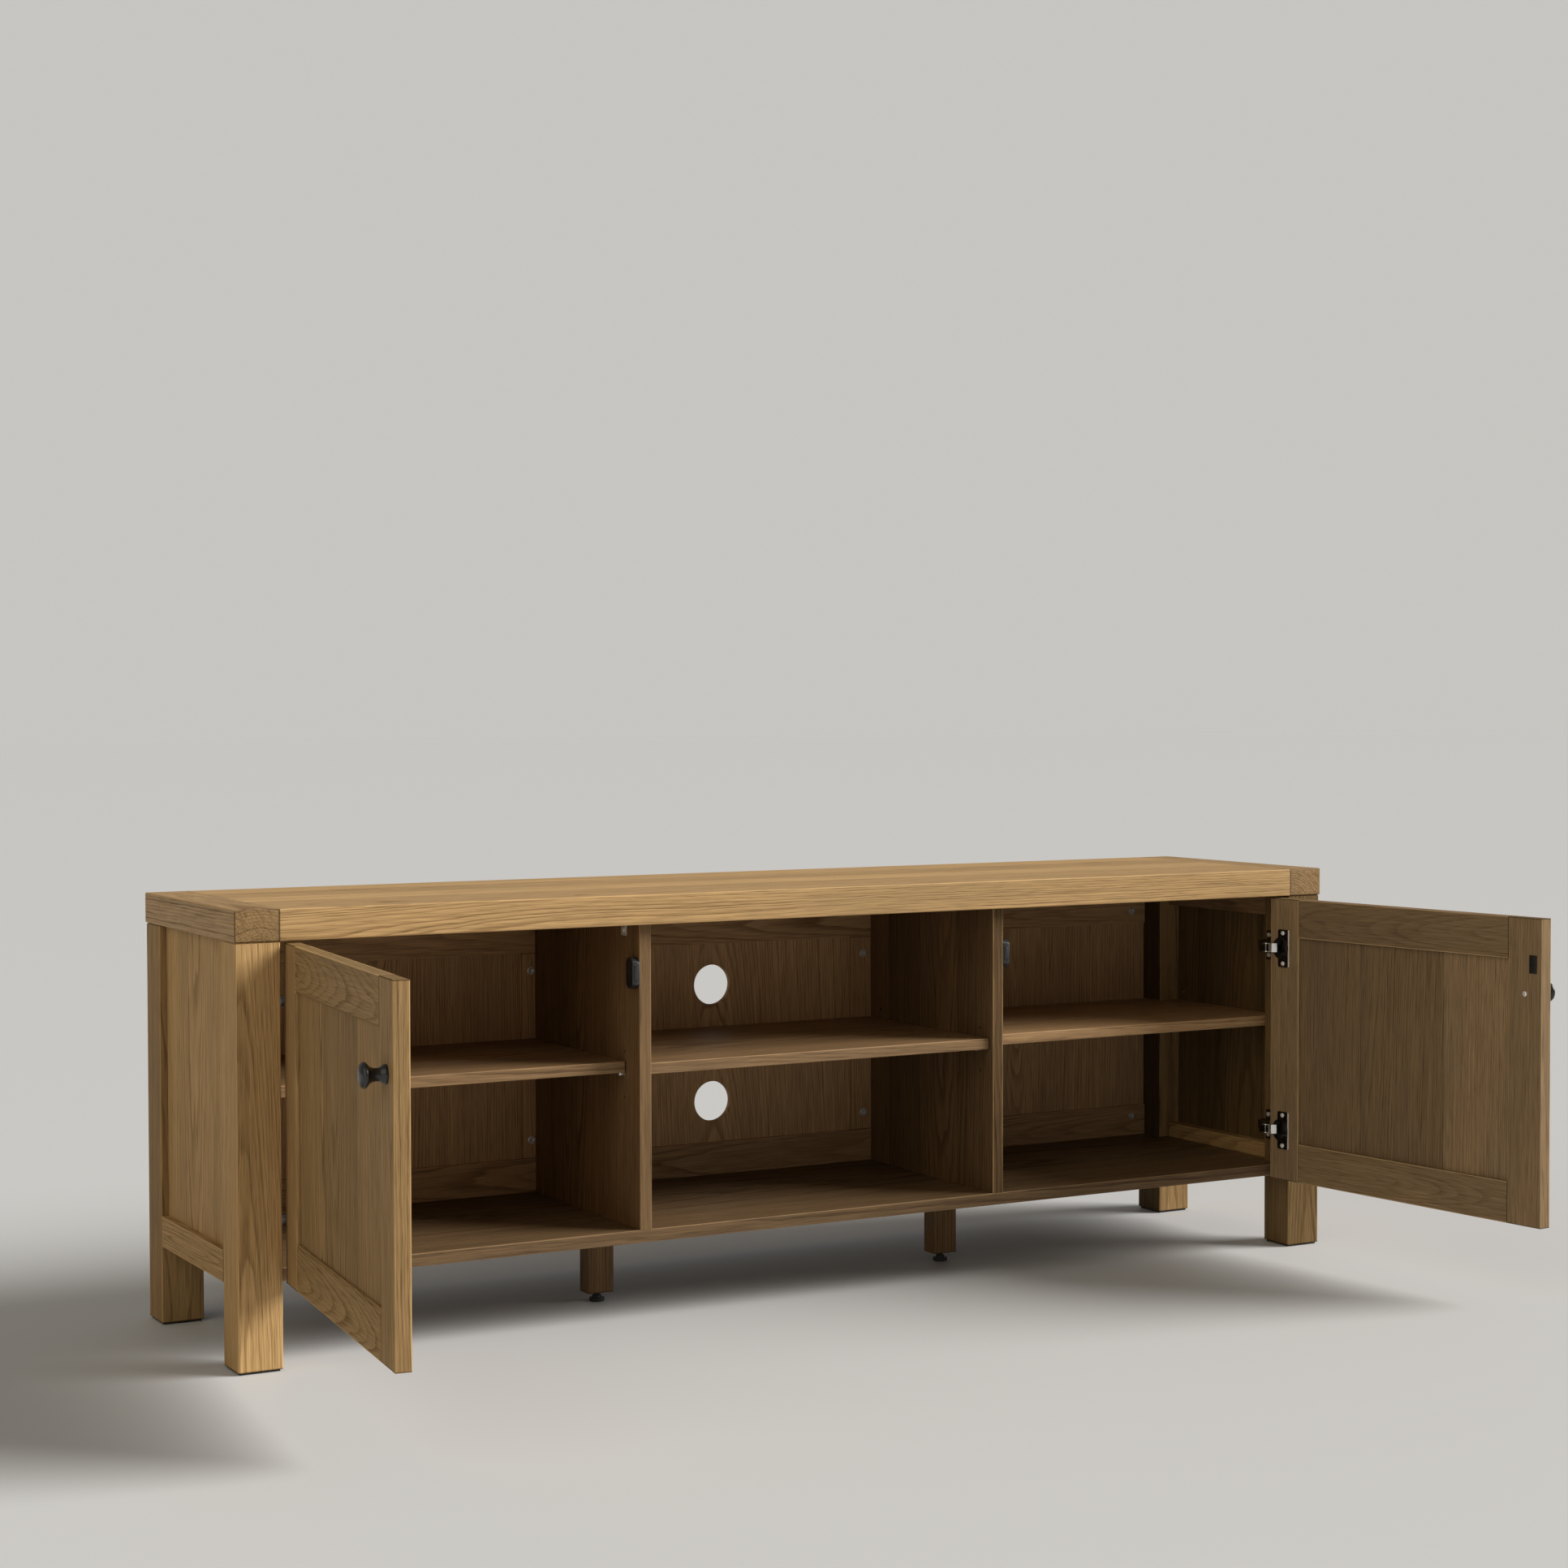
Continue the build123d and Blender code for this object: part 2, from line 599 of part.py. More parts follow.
# ================================================================ hinge plates and arms
plate_mid_y = front + (plate_front + plate_back) / 2
arm_profile = [
    (8.0, 58.0),
    (14.0, 58.0),
    (14.0, 40.0),
    (37.0, 27.0),
    (38.0, 24.5),
    (38.0, 17.5),
    (32.5, 17.5),
    (32.5, 22.5),
    (13.0, 33.5),
    (8.0, 33.5),
]
nose_profile = [
    (38.0, 17.5),
    (38.0, 11.4),
    (37.2, 10.5),
    (33.2, 10.5),
    (32.5, 11.2),
    (32.5, 17.5),
]

with BuildPart() as hinge_plates:
    for end in (-1, 1):
        for arm_z in hinge_z:
            with Locations((end * -(leg_face + plate_thick / 2), plate_mid_y, arm_z)):
                Box(plate_thick, plate_back - plate_front, plate_core)
            with Locations((end * -(leg_face + wing_thick / 2), plate_screw_y, arm_z)):
                Box(wing_thick, wing_back - wing_front, wing_tall)
            for way in (-1, 1):
                hole_z = arm_z + way * wing_screw_dz
                with Locations((end * -(leg_face + wing_thick / 2), plate_screw_y, hole_z)):
                    Cylinder(small_hole_r, 3 * wing_thick, rotation=(0, 90, 0), mode=Mode.SUBTRACT)
hinge_plates.part.label = "hinge_plates"
export_step(hinge_plates.part, "parts/hinge_plates.step")

with BuildPart() as hinge_arms:
    for arm_z in hinge_z:
        with BuildSketch(Plane.XY.offset(arm_z - arm_wide / 2)):
            with BuildLine():
                Polyline(
                    [(leg_face + across, front + along) for across, along in arm_profile],
                    close=True,
                )
            make_face()
        extrude(amount=arm_wide)
        with BuildSketch(Plane.XY.offset(arm_z - nose_wide / 2)):
            with BuildLine():
                Polyline(
                    [(leg_face + across, front + along) for across, along in nose_profile],
                    close=True,
                )
            make_face()
        extrude(amount=nose_wide)
        with Locations((leg_face + link_pin_x, front + link_pin_y, arm_z)):
            Cylinder(link_bore_r, 2 * nose_wide, mode=Mode.SUBTRACT)
    mirror(about=Plane.YZ)
hinge_arms.part.label = "hinge_arms"
export_step(hinge_arms.part, "parts/hinge_arms.step")

# links between the arms and the cups, modelled with the door shut
link_run = ((29.2, 12.45), (23.5, 11.9), (18.4, 18.1))
cheek_thick = (arm_wide - nose_wide) / 2 - cheek_gap
link_pin = (leg_face + link_pin_x, front + link_pin_y)

with BuildPart() as hinge_links_left:
    for arm_z in hinge_z:
        with BuildSketch(Plane.XY.offset(arm_z - arm_wide / 2)):
            with BuildLine() as bend:
                Polyline([(leg_face + across, front + along) for across, along in link_run])
            trace(line_width=link_thick)
        extrude(amount=arm_wide)
        for level in (arm_z - arm_wide / 2, arm_z + arm_wide / 2 - cheek_thick):
            with BuildSketch(Plane.XY.offset(level)):
                with Locations(link_pin):
                    Circle(link_eye_r)
                with BuildLine():
                    Line(link_pin, (leg_face + link_run[0][0], front + link_run[0][1]))
                trace(line_width=link_thick + 1.2)
            extrude(amount=cheek_thick)
        with Locations((*link_pin, arm_z)):
            Cylinder(link_pin_r, arm_wide)
hinge_links_left.part.label = "hinge_links_left"

link_swing = Axis((*link_pin, 0), (0, 0, 1))
links_open = hinge_links_left.part.rotate(link_swing, link_turn)
links_open.label = "hinge_links_left"
export_step(links_open, "parts/hinge_links_left.step")
links_twin = mirror(links_open, about=Plane.YZ)
links_twin.label = "hinge_links_right"
export_step(links_twin, "parts/hinge_links_right.step")

screw_spots = [(-divider_out, -1, bracket_thick, bracket_y, bracket_screw_z)]
for arm_z in hinge_z:
    for way in (-1, 1):
        screw_spots.append((leg_face, 1, wing_thick, plate_screw_y, arm_z + way * wing_screw_dz))

with BuildPart() as fixing_screws:
    for face_x, way, plate, spot_y, spot_z in screw_spots:
        for end in (-1, 1):
            head_x = face_x + way * (plate + small_head_h / 2)
            shank_x = face_x + way * (plate - small_screw_l) / 2
            slot_x = face_x + way * (plate + small_head_h - slot_deep / 2)
            with Locations((-end * head_x, spot_y, spot_z)):
                Cylinder(small_head_r, small_head_h, rotation=(0, 90, 0))
            with Locations((-end * shank_x, spot_y, spot_z)):
                Cylinder(small_screw_r, small_screw_l + plate, rotation=(0, 90, 0))
            for long_y, long_z in ((slot_long, slot_wide), (slot_wide, slot_long)):
                with Locations((-end * slot_x, spot_y, spot_z)):
                    Box(slot_deep, long_y, long_z, mode=Mode.SUBTRACT)
fixing_screws.part.label = "fixing_screws"
export_step(fixing_screws.part, "parts/fixing_screws.step")


# ================================================================ doors, modelled shut
door_x = leg_face + door_gap
door_y = front
door_mid_y = door_y + door_thick / 2
door_mid_z = (door_low + door_high) / 2
open_low = door_low + frame_member
open_high = door_high - frame_member
open_tall = open_high - open_low
open_wide = door_width - 2 * frame_member
groove_tall = door_tall - 2 * groove_stop
rail_tongue_tall = frame_member - groove_stop - 0.5
knob_x = door_x + door_width - knob_in
cup_x = door_x + cup_in
inner_y = door_y + door_thick

with BuildPart() as door_left_hinge_stile:
    with Locations((door_x + frame_member / 2, door_mid_y, door_mid_z)):
        Box(frame_member, door_thick, door_tall)
    chamfer(door_left_hinge_stile.edges().filter_by(Axis.Z), 0.7)
    with Locations((door_x + frame_member - door_groove / 2, door_mid_y, door_mid_z)):
        Box(door_groove, door_panel_thick, groove_tall, mode=Mode.SUBTRACT)
    # moulded edge round the panel
    with BuildSketch(Plane.XY.offset(open_low)):
        with BuildLine():
            Polyline([
                (door_x + frame_member - bead, door_y),
                (door_x + frame_member, door_y),
                (door_x + frame_member, door_y + bead),
            ], close=True)
        make_face()
    extrude(amount=open_tall, mode=Mode.SUBTRACT)
    for cup_z in hinge_z:
        with Locations((cup_x, inner_y - cup_bore_deep / 2, cup_z)):
            Cylinder(cup_bore_r, cup_bore_deep, rotation=(90, 0, 0), mode=Mode.SUBTRACT)
        for way in (-1, 1):
            with Locations((door_x + cup_screw_in, inner_y - 5, cup_z + way * cup_screw_dz)):
                Cylinder(small_hole_r, 10, rotation=(90, 0, 0), mode=Mode.SUBTRACT)
door_left_hinge_stile.part.label = "door_left_hinge_stile"

with BuildPart() as door_left_free_stile:
    with Locations((door_x + door_width - frame_member / 2, door_mid_y, door_mid_z)):
        Box(frame_member, door_thick, door_tall)
    chamfer(door_left_free_stile.edges().filter_by(Axis.Z), 0.7)
    with Locations((door_x + door_width - frame_member + door_groove / 2, door_mid_y, door_mid_z)):
        Box(door_groove, door_panel_thick, groove_tall, mode=Mode.SUBTRACT)
    with BuildSketch(Plane.XY.offset(open_low)):
        with BuildLine():
            Polyline([
                (door_x + door_width - frame_member + bead, door_y),
                (door_x + door_width - frame_member, door_y),
                (door_x + door_width - frame_member, door_y + bead),
            ], close=True)
        make_face()
    extrude(amount=open_tall, mode=Mode.SUBTRACT)
    with Locations((knob_x, door_mid_y, knob_z)):
        Cylinder(knob_hole_r, door_thick + 2, rotation=(90, 0, 0), mode=Mode.SUBTRACT)
door_left_free_stile.part.label = "door_left_free_stile"

rail_from = door_x + frame_member
rail_middle = rail_from + open_wide / 2

with BuildPart() as door_left_top_rail:
    with Locations((rail_middle, door_mid_y, door_high - frame_member / 2)):
        Box(open_wide, door_thick, frame_member)
    with Locations((rail_middle, door_mid_y, open_high + door_groove / 2)):
        Box(open_wide, door_panel_thick, door_groove, mode=Mode.SUBTRACT)
    for end in (-1, 1):
        tongue_x = rail_middle + end * (open_wide + door_groove - 0.5) / 2
        with Locations((tongue_x, door_mid_y, open_high + 8.5 + (rail_tongue_tall - 8.5) / 2)):
            Box(door_groove - 0.5, door_panel_thick - 0.2, rail_tongue_tall - 8.5)
    with BuildSketch(Plane.YZ.offset(rail_from)):
        with BuildLine():
            Polyline([
                (door_y, open_high + bead),
                (door_y, open_high),
                (door_y + bead, open_high),
            ], close=True)
        make_face()
    extrude(amount=open_wide, mode=Mode.SUBTRACT)
door_left_top_rail.part.label = "door_left_top_rail"

with BuildPart() as door_left_bottom_rail:
    with Locations((rail_middle, door_mid_y, door_low + frame_member / 2)):
        Box(open_wide, door_thick, frame_member)
    with Locations((rail_middle, door_mid_y, open_low - door_groove / 2)):
        Box(open_wide, door_panel_thick, door_groove, mode=Mode.SUBTRACT)
    for end in (-1, 1):
        tongue_x = rail_middle + end * (open_wide + door_groove - 0.5) / 2
        with Locations((tongue_x, door_mid_y, open_low - 8.5 - (rail_tongue_tall - 8.5) / 2)):
            Box(door_groove - 0.5, door_panel_thick - 0.2, rail_tongue_tall - 8.5)
    with BuildSketch(Plane.YZ.offset(rail_from)):
        with BuildLine():
            Polyline([
                (door_y, open_low - bead),
                (door_y, open_low),
                (door_y + bead, open_low),
            ], close=True)
        make_face()
    extrude(amount=open_wide, mode=Mode.SUBTRACT)
door_left_bottom_rail.part.label = "door_left_bottom_rail"

panel_reach = door_groove - door_panel_in
with BuildPart() as door_left_panel:
    with Locations((rail_middle, door_mid_y, door_mid_z)):
        Box(open_wide + 2 * panel_reach, door_panel_thick, open_tall + 2 * panel_reach)
door_left_panel.part.label = "door_left_panel"

with BuildPart() as door_left_knob:
    with BuildSketch(Plane.YZ.offset(knob_x)):
        with BuildLine():
            Polyline([
                (door_y, knob_z),
                (door_y, knob_z + 11.5),
                (door_y - 2.5, knob_z + 11.5),
                (door_y - 5.0, knob_z + 9.6),
                (door_y - 8.0, knob_z + 7.8),
                (door_y - 14.0, knob_z + 7.4),
                (door_y - 18.5, knob_z + 8.6),
                (door_y - 21.0, knob_z + 11.0),
                (door_y - 22.5, knob_z + 14.2),
                (door_y - 24.5, knob_z + 15.5),
                (door_y - 27.0, knob_z + 15.5),
                (door_y - 29.0, knob_z + 14.6),
                (door_y - 31.5, knob_z + 10.0),
                (door_y - 32.6, knob_z + 5.0),
                (door_y - 33.0, knob_z),
            ], close=True)
        make_face()
    revolve(axis=Axis((knob_x, 0, knob_z), (0, 1, 0)))
    with Locations((knob_x, door_y - 7, knob_z)):
        Cylinder(knob_hole_r, 14.02, rotation=(90, 0, 0), mode=Mode.SUBTRACT)
door_left_knob.part.label = "door_left_knob"

with BuildPart() as door_left_knob_screw:
    with Locations((knob_x, inner_y + knob_head_h / 2, knob_z)):
        Cylinder(knob_head_r, knob_head_h, rotation=(90, 0, 0))
    with Locations((knob_x, inner_y - knob_screw_l / 2, knob_z)):
        Cylinder(knob_screw_r, knob_screw_l, rotation=(90, 0, 0))
    for long_x, long_z in ((knob_slot_long, knob_slot_wide), (knob_slot_wide, knob_slot_long)):
        with Locations((knob_x, inner_y + knob_head_h - knob_slot_wide / 2, knob_z)):
            Box(long_x, knob_slot_wide, long_z, mode=Mode.SUBTRACT)
door_left_knob_screw.part.label = "door_left_knob_screw"

with BuildPart() as door_left_strike:
    with Locations((door_x + door_width - strike_in, inner_y + strike_thick / 2, catch_z)):
        Box(strike_wide, strike_thick, strike_tall)
door_left_strike.part.label = "door_left_strike"

flange_wide = flange_far - flange_near
flange_x = door_x + (flange_near + flange_far) / 2
with BuildPart() as door_left_hinge_cups:
    for cup_z in hinge_z:
        with Locations((flange_x, inner_y + flange_thick / 2, cup_z)):
            Box(flange_wide, flange_thick, flange_tall)
    fillet(door_left_hinge_cups.edges().filter_by(Axis.Y), flange_round)
    cup_high = cup_deep + flange_thick
    hollow_deep = cup_high - cup_wall
    for cup_z in hinge_z:
        with Locations((cup_x, inner_y + flange_thick - cup_high / 2, cup_z)):
            Cylinder(cup_r, cup_high, rotation=(90, 0, 0))
        with Locations((cup_x, inner_y + flange_thick - hollow_deep / 2, cup_z)):
            Cylinder(cup_r - cup_wall, hollow_deep, rotation=(90, 0, 0), mode=Mode.SUBTRACT)
        for way in (-1, 1):
            with Locations((door_x + cup_screw_in, inner_y, cup_z + way * cup_screw_dz)):
                Cylinder(small_hole_r, 8, rotation=(90, 0, 0), mode=Mode.SUBTRACT)
door_left_hinge_cups.part.label = "door_left_hinge_cups"

with BuildPart() as door_left_cup_screws:
    for cup_z in hinge_z:
        for way in (-1, 1):
            spot_z = cup_z + way * cup_screw_dz
            spot_x = door_x + cup_screw_in
            with Locations((spot_x, inner_y + flange_thick + small_head_h / 2, spot_z)):
                Cylinder(small_head_r, small_head_h, rotation=(90, 0, 0))
            with Locations((spot_x, inner_y + (flange_thick - small_screw_l) / 2, spot_z)):
                Cylinder(small_screw_r, small_screw_l + flange_thick, rotation=(90, 0, 0))
            for long_x, long_z in ((slot_long, slot_wide), (slot_wide, slot_long)):
                with Locations((spot_x, inner_y + flange_thick + small_head_h - slot_deep / 2, spot_z)):
                    Box(long_x, slot_deep, long_z, mode=Mode.SUBTRACT)
door_left_cup_screws.part.label = "door_left_cup_screws"


# ================================================================ doors swung open and mirrored pieces
swing = Axis((leg_face + pivot_x, front + pivot_y, 0), (0, 0, 1))
left_door = (
    door_left_hinge_stile,
    door_left_free_stile,
    door_left_top_rail,
    door_left_bottom_rail,
    door_left_panel,
    door_left_knob,
    door_left_knob_screw,
    door_left_strike,
    door_left_hinge_cups,
    door_left_cup_screws,
)
for piece in left_door:
    name = piece.part.label
    hung = piece.part.rotate(swing, -open_angle)
    hung.label = name
    export_step(hung, f"parts/{name}.step")
    twin = mirror(hung, about=Plane.YZ)
    twin.label = name.replace("left", "right")
    export_step(twin, f"parts/{twin.label}.step")

left_only = (
    top_endcap_left,
    side_rail_left,
    side_panel_left,
    divider_left,
    back_muntin_left,
    back_panel_left,
    shelf_left,
    mid_foot_left,
)
for piece in left_only:
    twin = mirror(piece.part, about=Plane.YZ)
    twin.label = piece.part.label.replace("left", "right")
    export_step(twin, f"parts/{twin.label}.step")
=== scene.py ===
"""Low oak media cabinet with two framed doors standing open, on a plain pale floor."""
import json
import math

import bmesh
import bpy
from mathutils import Euler, Matrix, Vector


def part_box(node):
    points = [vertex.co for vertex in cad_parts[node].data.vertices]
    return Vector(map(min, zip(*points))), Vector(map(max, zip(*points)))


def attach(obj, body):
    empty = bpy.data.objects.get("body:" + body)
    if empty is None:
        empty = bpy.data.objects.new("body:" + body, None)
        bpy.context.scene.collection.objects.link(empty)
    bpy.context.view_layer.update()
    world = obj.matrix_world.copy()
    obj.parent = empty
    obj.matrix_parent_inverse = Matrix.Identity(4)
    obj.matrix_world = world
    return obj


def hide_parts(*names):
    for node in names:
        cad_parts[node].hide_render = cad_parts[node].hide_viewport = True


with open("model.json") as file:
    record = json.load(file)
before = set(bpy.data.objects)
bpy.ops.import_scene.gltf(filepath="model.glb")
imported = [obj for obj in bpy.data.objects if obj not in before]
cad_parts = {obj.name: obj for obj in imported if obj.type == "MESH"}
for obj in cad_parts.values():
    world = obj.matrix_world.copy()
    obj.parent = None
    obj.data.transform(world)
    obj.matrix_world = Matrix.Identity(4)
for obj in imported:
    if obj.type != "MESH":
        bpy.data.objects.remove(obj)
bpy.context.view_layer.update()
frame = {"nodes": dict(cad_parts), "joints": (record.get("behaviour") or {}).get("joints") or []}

nodes = frame["nodes"]
joints = {joint["name"]: joint for joint in frame["joints"]}
scene = bpy.context.scene
scene.view_settings.view_transform = "Standard"

# ---------------------------------------------------------------- the doors' swing
door_turn = {
    "left": math.radians(joints["door_left_swing"]["range_deg"][1]),
    "right": math.radians(joints["door_right_swing"]["range_deg"][0]),
}


def closing(side):
    """The move that takes a door from where it stands open to shut."""
    pivot = Vector(joints[f"door_{side}_swing"]["pos_m"])
    turn = Matrix.Rotation(door_turn[side], 4, "Z")
    return Matrix.Translation(pivot) @ turn @ Matrix.Translation(-pivot)


def shut_box(node, side):
    """Lowest and highest corner of a door's node, as the door stands when shut."""
    move = closing(side)
    points = [move @ vertex.co for vertex in nodes[node].data.vertices]
    low = Vector(min(point[k] for point in points) for k in range(3))
    high = Vector(max(point[k] for point in points) for k in range(3))
    return low, high


# ---------------------------------------------------------------- shader wiring
class Wiring:
    """Adds shader nodes to one tree and joins them."""

    def __init__(self, tree):
        self.tree = tree

    def feed(self, socket, value):
        if isinstance(value, bpy.types.NodeSocket):
            self.tree.links.new(value, socket)
        else:
            socket.default_value = value

    def add(self, kind, inputs=None, **settings):
        node = self.tree.nodes.new(kind)
        for name, value in settings.items():
            setattr(node, name, value)
        for key, value in (inputs or {}).items():
            self.feed(node.inputs[key], value)
        return node

    def math(self, operation, *values, clamp=False):
        node = self.add("ShaderNodeMath", operation=operation, use_clamp=clamp)
        for socket, value in zip(node.inputs, values):
            self.feed(socket, value)
        return node.outputs[0]

    def vector(self, operation, *values):
        node = self.add("ShaderNodeVectorMath", operation=operation)
        for socket, value in zip(node.inputs, values):
            self.feed(socket, value)
        return node.outputs[1 if operation == "LENGTH" else 0]

    def mix(self, factor, first, second, blend="MIX"):
        """Blends two colours, which a Mix node takes at sockets 6 and 7 and gives at 2."""
        node = self.add("ShaderNodeMix", {0: factor, 6: first, 7: second},
                        data_type="RGBA", blend_type=blend)
        return node.outputs[2]

    def noise(self, place, stretch, detail=2.0, rough=0.5, colour=False):
        """Noise with its own stretch along each axis, in lumps per metre."""
        node = self.add("ShaderNodeTexNoise", {
            "Vector": self.vector("MULTIPLY", place, stretch),
            "Scale": 1.0,
            "Detail": detail,
            "Roughness": rough,
        })
        return node.outputs[1 if colour else 0]

    def fade(self, value, start, stop, low=0.0, high=1.0):
        """A smooth step from low to high as value goes from start to stop."""
        node = self.add("ShaderNodeMapRange", interpolation_type="SMOOTHSTEP")
        for socket, number in zip(node.inputs, (value, start, stop, low, high)):
            self.feed(socket, number)
        return node.outputs[0]

    def split(self, vector):
        return self.add("ShaderNodeSeparateXYZ", {0: vector}).outputs

    def join(self, x, y, z):
        return self.add("ShaderNodeCombineXYZ", {0: x, 1: y, 2: z}).outputs[0]

    def ramp(self, factor, stops):
        node = self.add("ShaderNodeValToRGB", {0: factor})
        elements = node.color_ramp.elements
        while len(elements) < len(stops):
            elements.new(0.5)
        for element, (place, level) in zip(elements, stops):
            element.position = place
            element.color = (level, level, level, 1.0)
        return node.outputs[0]


def shader_group(name, inputs, outputs):
    """A node group with named inputs and outputs, and its wiring."""
    tree = bpy.data.node_groups.new(name, "ShaderNodeTree")
    kinds = {"number": "NodeSocketFloat", "vector": "NodeSocketVector", "colour": "NodeSocketColor"}
    for label, kind, value in inputs:
        socket = tree.interface.new_socket(label, in_out="INPUT", socket_type=kinds[kind])
        socket.default_value = value
    for label, kind in outputs:
        tree.interface.new_socket(label, in_out="OUTPUT", socket_type=kinds[kind])
    wiring = Wiring(tree)
    source = wiring.add("NodeGroupInput").outputs
    sink = wiring.add("NodeGroupOutput").inputs
    return tree, wiring, source, sink


# ---------------------------------------------------------------- oak
def build_glued_boards():
    """A panel glued up from boards: each board gets its own log and its own tone."""
    log_step = 7.31
    log_long = 2.0
    log_across = 0.12
    log_deep = 0.05
    seam_wide = 0.0007
    tree, w, source, sink = shader_group(
        "Glued boards",
        [
            ("Vector", "vector", (0, 0, 0)),
            ("Seed", "number", 0.0),
            ("Joint A", "number", 9.0),
            ("Joint B", "number", 9.0),
            ("Joint C", "number", 9.0),
        ],
        [("Vector", "vector"), ("Seed", "number"), ("Tone", "number"), ("Seam", "number")],
    )
    across = w.split(source["Vector"])[1]
    count = 0.0
    nearest = 9.0
    for label in ("Joint A", "Joint B", "Joint C"):
        past = w.math("GREATER_THAN", across, source[label])
        count = w.math("ADD", past, count)
        away = w.math("ABSOLUTE", w.math("SUBTRACT", across, source[label]))
        nearest = w.math("MINIMUM", away, nearest)
    seed = w.math("ADD", source["Seed"], w.math("MULTIPLY", count, log_step))
    chance = w.add("ShaderNodeTexWhiteNoise", {"W": seed}, noise_dimensions="1D")
    red, green, blue = w.add("ShaderNodeSeparateColor", {0: chance.outputs["Color"]}).outputs
    own = w.math("MINIMUM", count, 1.0)
    sideways = w.math("MULTIPLY", w.math("MULTIPLY_ADD", green, log_across, -log_across / 2), own)
    inwards = w.math("MULTIPLY", w.math("MULTIPLY_ADD", blue, log_deep, -log_deep / 2), own)
    shift = w.join(w.math("MULTIPLY", red, log_long), sideways, inwards)
    w.feed(sink["Vector"], w.vector("ADD", source["Vector"], shift))
    w.feed(sink["Seed"], seed)
    w.feed(sink["Tone"], w.math("MULTIPLY_ADD", green, 2.0, -1.0))
    w.feed(sink["Seam"], w.fade(nearest, 0.0, seam_wide, 1.0, 0.0))
    return tree


def build_oak_grain():
    """Growth rings round a leaning pith, with pores, fibres and slow clouds of colour."""
    tree, w, source, sink = shader_group(
        "Oak grain",
        [
            ("Vector", "vector", (0, 0, 0)),
            ("Facing", "vector", (0, 0, 1)),
            ("Seed", "number", 0.0),
            ("Pith across", "number", 0.0),
            ("Pith deep", "number", -0.05),
            ("Lean across", "number", 0.0),
            ("Lean deep", "number", 0.03),
            ("Ring gap", "number", 0.006),
            ("Wander", "number", 0.012),
            ("Tone", "number", 1.0),
            ("Rings", "number", 0.8),
            ("Light", "colour", (0.4, 0.26, 0.12, 1)),
            ("Dark", "colour", (0.18, 0.1, 0.04, 1)),
            ("Cloud", "colour", (0.3, 0.2, 0.1, 1)),
        ],
        [("Color", "colour"), ("Roughness", "number"), ("Height", "number")],
    )
    # lumps per metre along, across and through the board
    slow_swing = (1.6, 5.0, 5.0)
    slow_cloud = (2.0, 13.0, 13.0)
    ring_ripple = (9.0, 55.0, 55.0)
    fine_fibre = (11.0, 420.0, 420.0)
    fine_pores = (24.0, 700.0, 700.0)
    # lumps per ring, and per metre slantwise over end grain
    ring_unevenness = (0.37, 1.0, 1.0)
    end_cracks = (420.0, 70.0, 1.0)
    # places through one year's ring, and how strongly its porous early wood shows there
    year_profile = (
        (0.0, 0.1),
        (0.09, 1.0),
        (0.22, 0.8),
        (0.5, 0.16),
        (1.0, 0.02),
    )

    seed = source["Seed"]
    away = w.join(w.math("MULTIPLY", seed, 1.37), w.math("MULTIPLY", seed, 0.71), seed)
    place = w.vector("ADD", source["Vector"], away)
    along, across, deep = w.split(source["Vector"])

    swing = w.noise(place, slow_swing, 1.0, colour=True)
    swing_a, swing_b, _ = w.add("ShaderNodeSeparateColor", {0: swing}).outputs

    def from_pith(level, pith, lean, drift):
        level = w.math("SUBTRACT", level, source[pith])
        level = w.math("MULTIPLY_ADD", along, source[lean], level)
        drift = w.math("MULTIPLY", w.math("SUBTRACT", drift, 0.5), source["Wander"])
        return w.math("ADD", level, drift)

    radius = w.vector("LENGTH", w.join(
        0.0,
        from_pith(across, "Pith across", "Lean across", swing_a),
        from_pith(deep, "Pith deep", "Lean deep", swing_b),
    ))
    ripple = w.noise(place, ring_ripple, 2.0)
    rings = w.math("DIVIDE", radius, source["Ring gap"])
    rings = w.math("MULTIPLY_ADD", w.math("SUBTRACT", ripple, 0.5), 1.1, rings)
    uneven = w.noise(w.join(rings, seed, 0.0), ring_unevenness, 1.0)
    rings = w.math("MULTIPLY_ADD", uneven, 2.2, rings)
    early = w.ramp(w.math("FRACT", rings), year_profile)
    year = w.add(
        "ShaderNodeTexWhiteNoise",
        {"W": w.math("ADD", w.math("FLOOR", rings), seed)},
        noise_dimensions="1D",
    ).outputs["Value"]
    early = w.math("MULTIPLY", early, w.math("MULTIPLY_ADD", year, 0.65, 0.35))

    fibre = w.noise(place, fine_fibre, 3.0, 0.65)
    pore_lines = w.fade(w.noise(place, fine_pores, 1.5), 0.5, 0.63)
    pores = w.math("MULTIPLY", pore_lines, w.math("MULTIPLY_ADD", early, 0.65, 0.35))
    cloud = w.fade(w.noise(place, slow_cloud, 2.0), 0.42, 0.7)

    colour = w.mix(w.math("MULTIPLY", early, source["Rings"]), source["Light"], source["Dark"])
    colour = w.mix(w.math("MULTIPLY", cloud, 0.5), colour, source["Cloud"])
    colour = w.mix(w.math("MULTIPLY", pores, 0.68), colour, source["Dark"])

    end_grain = w.fade(w.math("ABSOLUTE", w.split(source["Facing"])[0]), 0.6, 0.85)
    _, place_across, place_deep = w.split(place)
    rising = w.math("ADD", place_across, place_deep)
    falling = w.math("SUBTRACT", place_across, place_deep)
    cracks = w.noise(w.join(rising, falling, seed), end_cracks, 3.0, 0.6)
    cracks = w.math("MULTIPLY", w.fade(cracks, 0.5, 0.62), w.math("MULTIPLY", end_grain, 0.6))
    colour = w.mix(cracks, colour, source["Dark"])

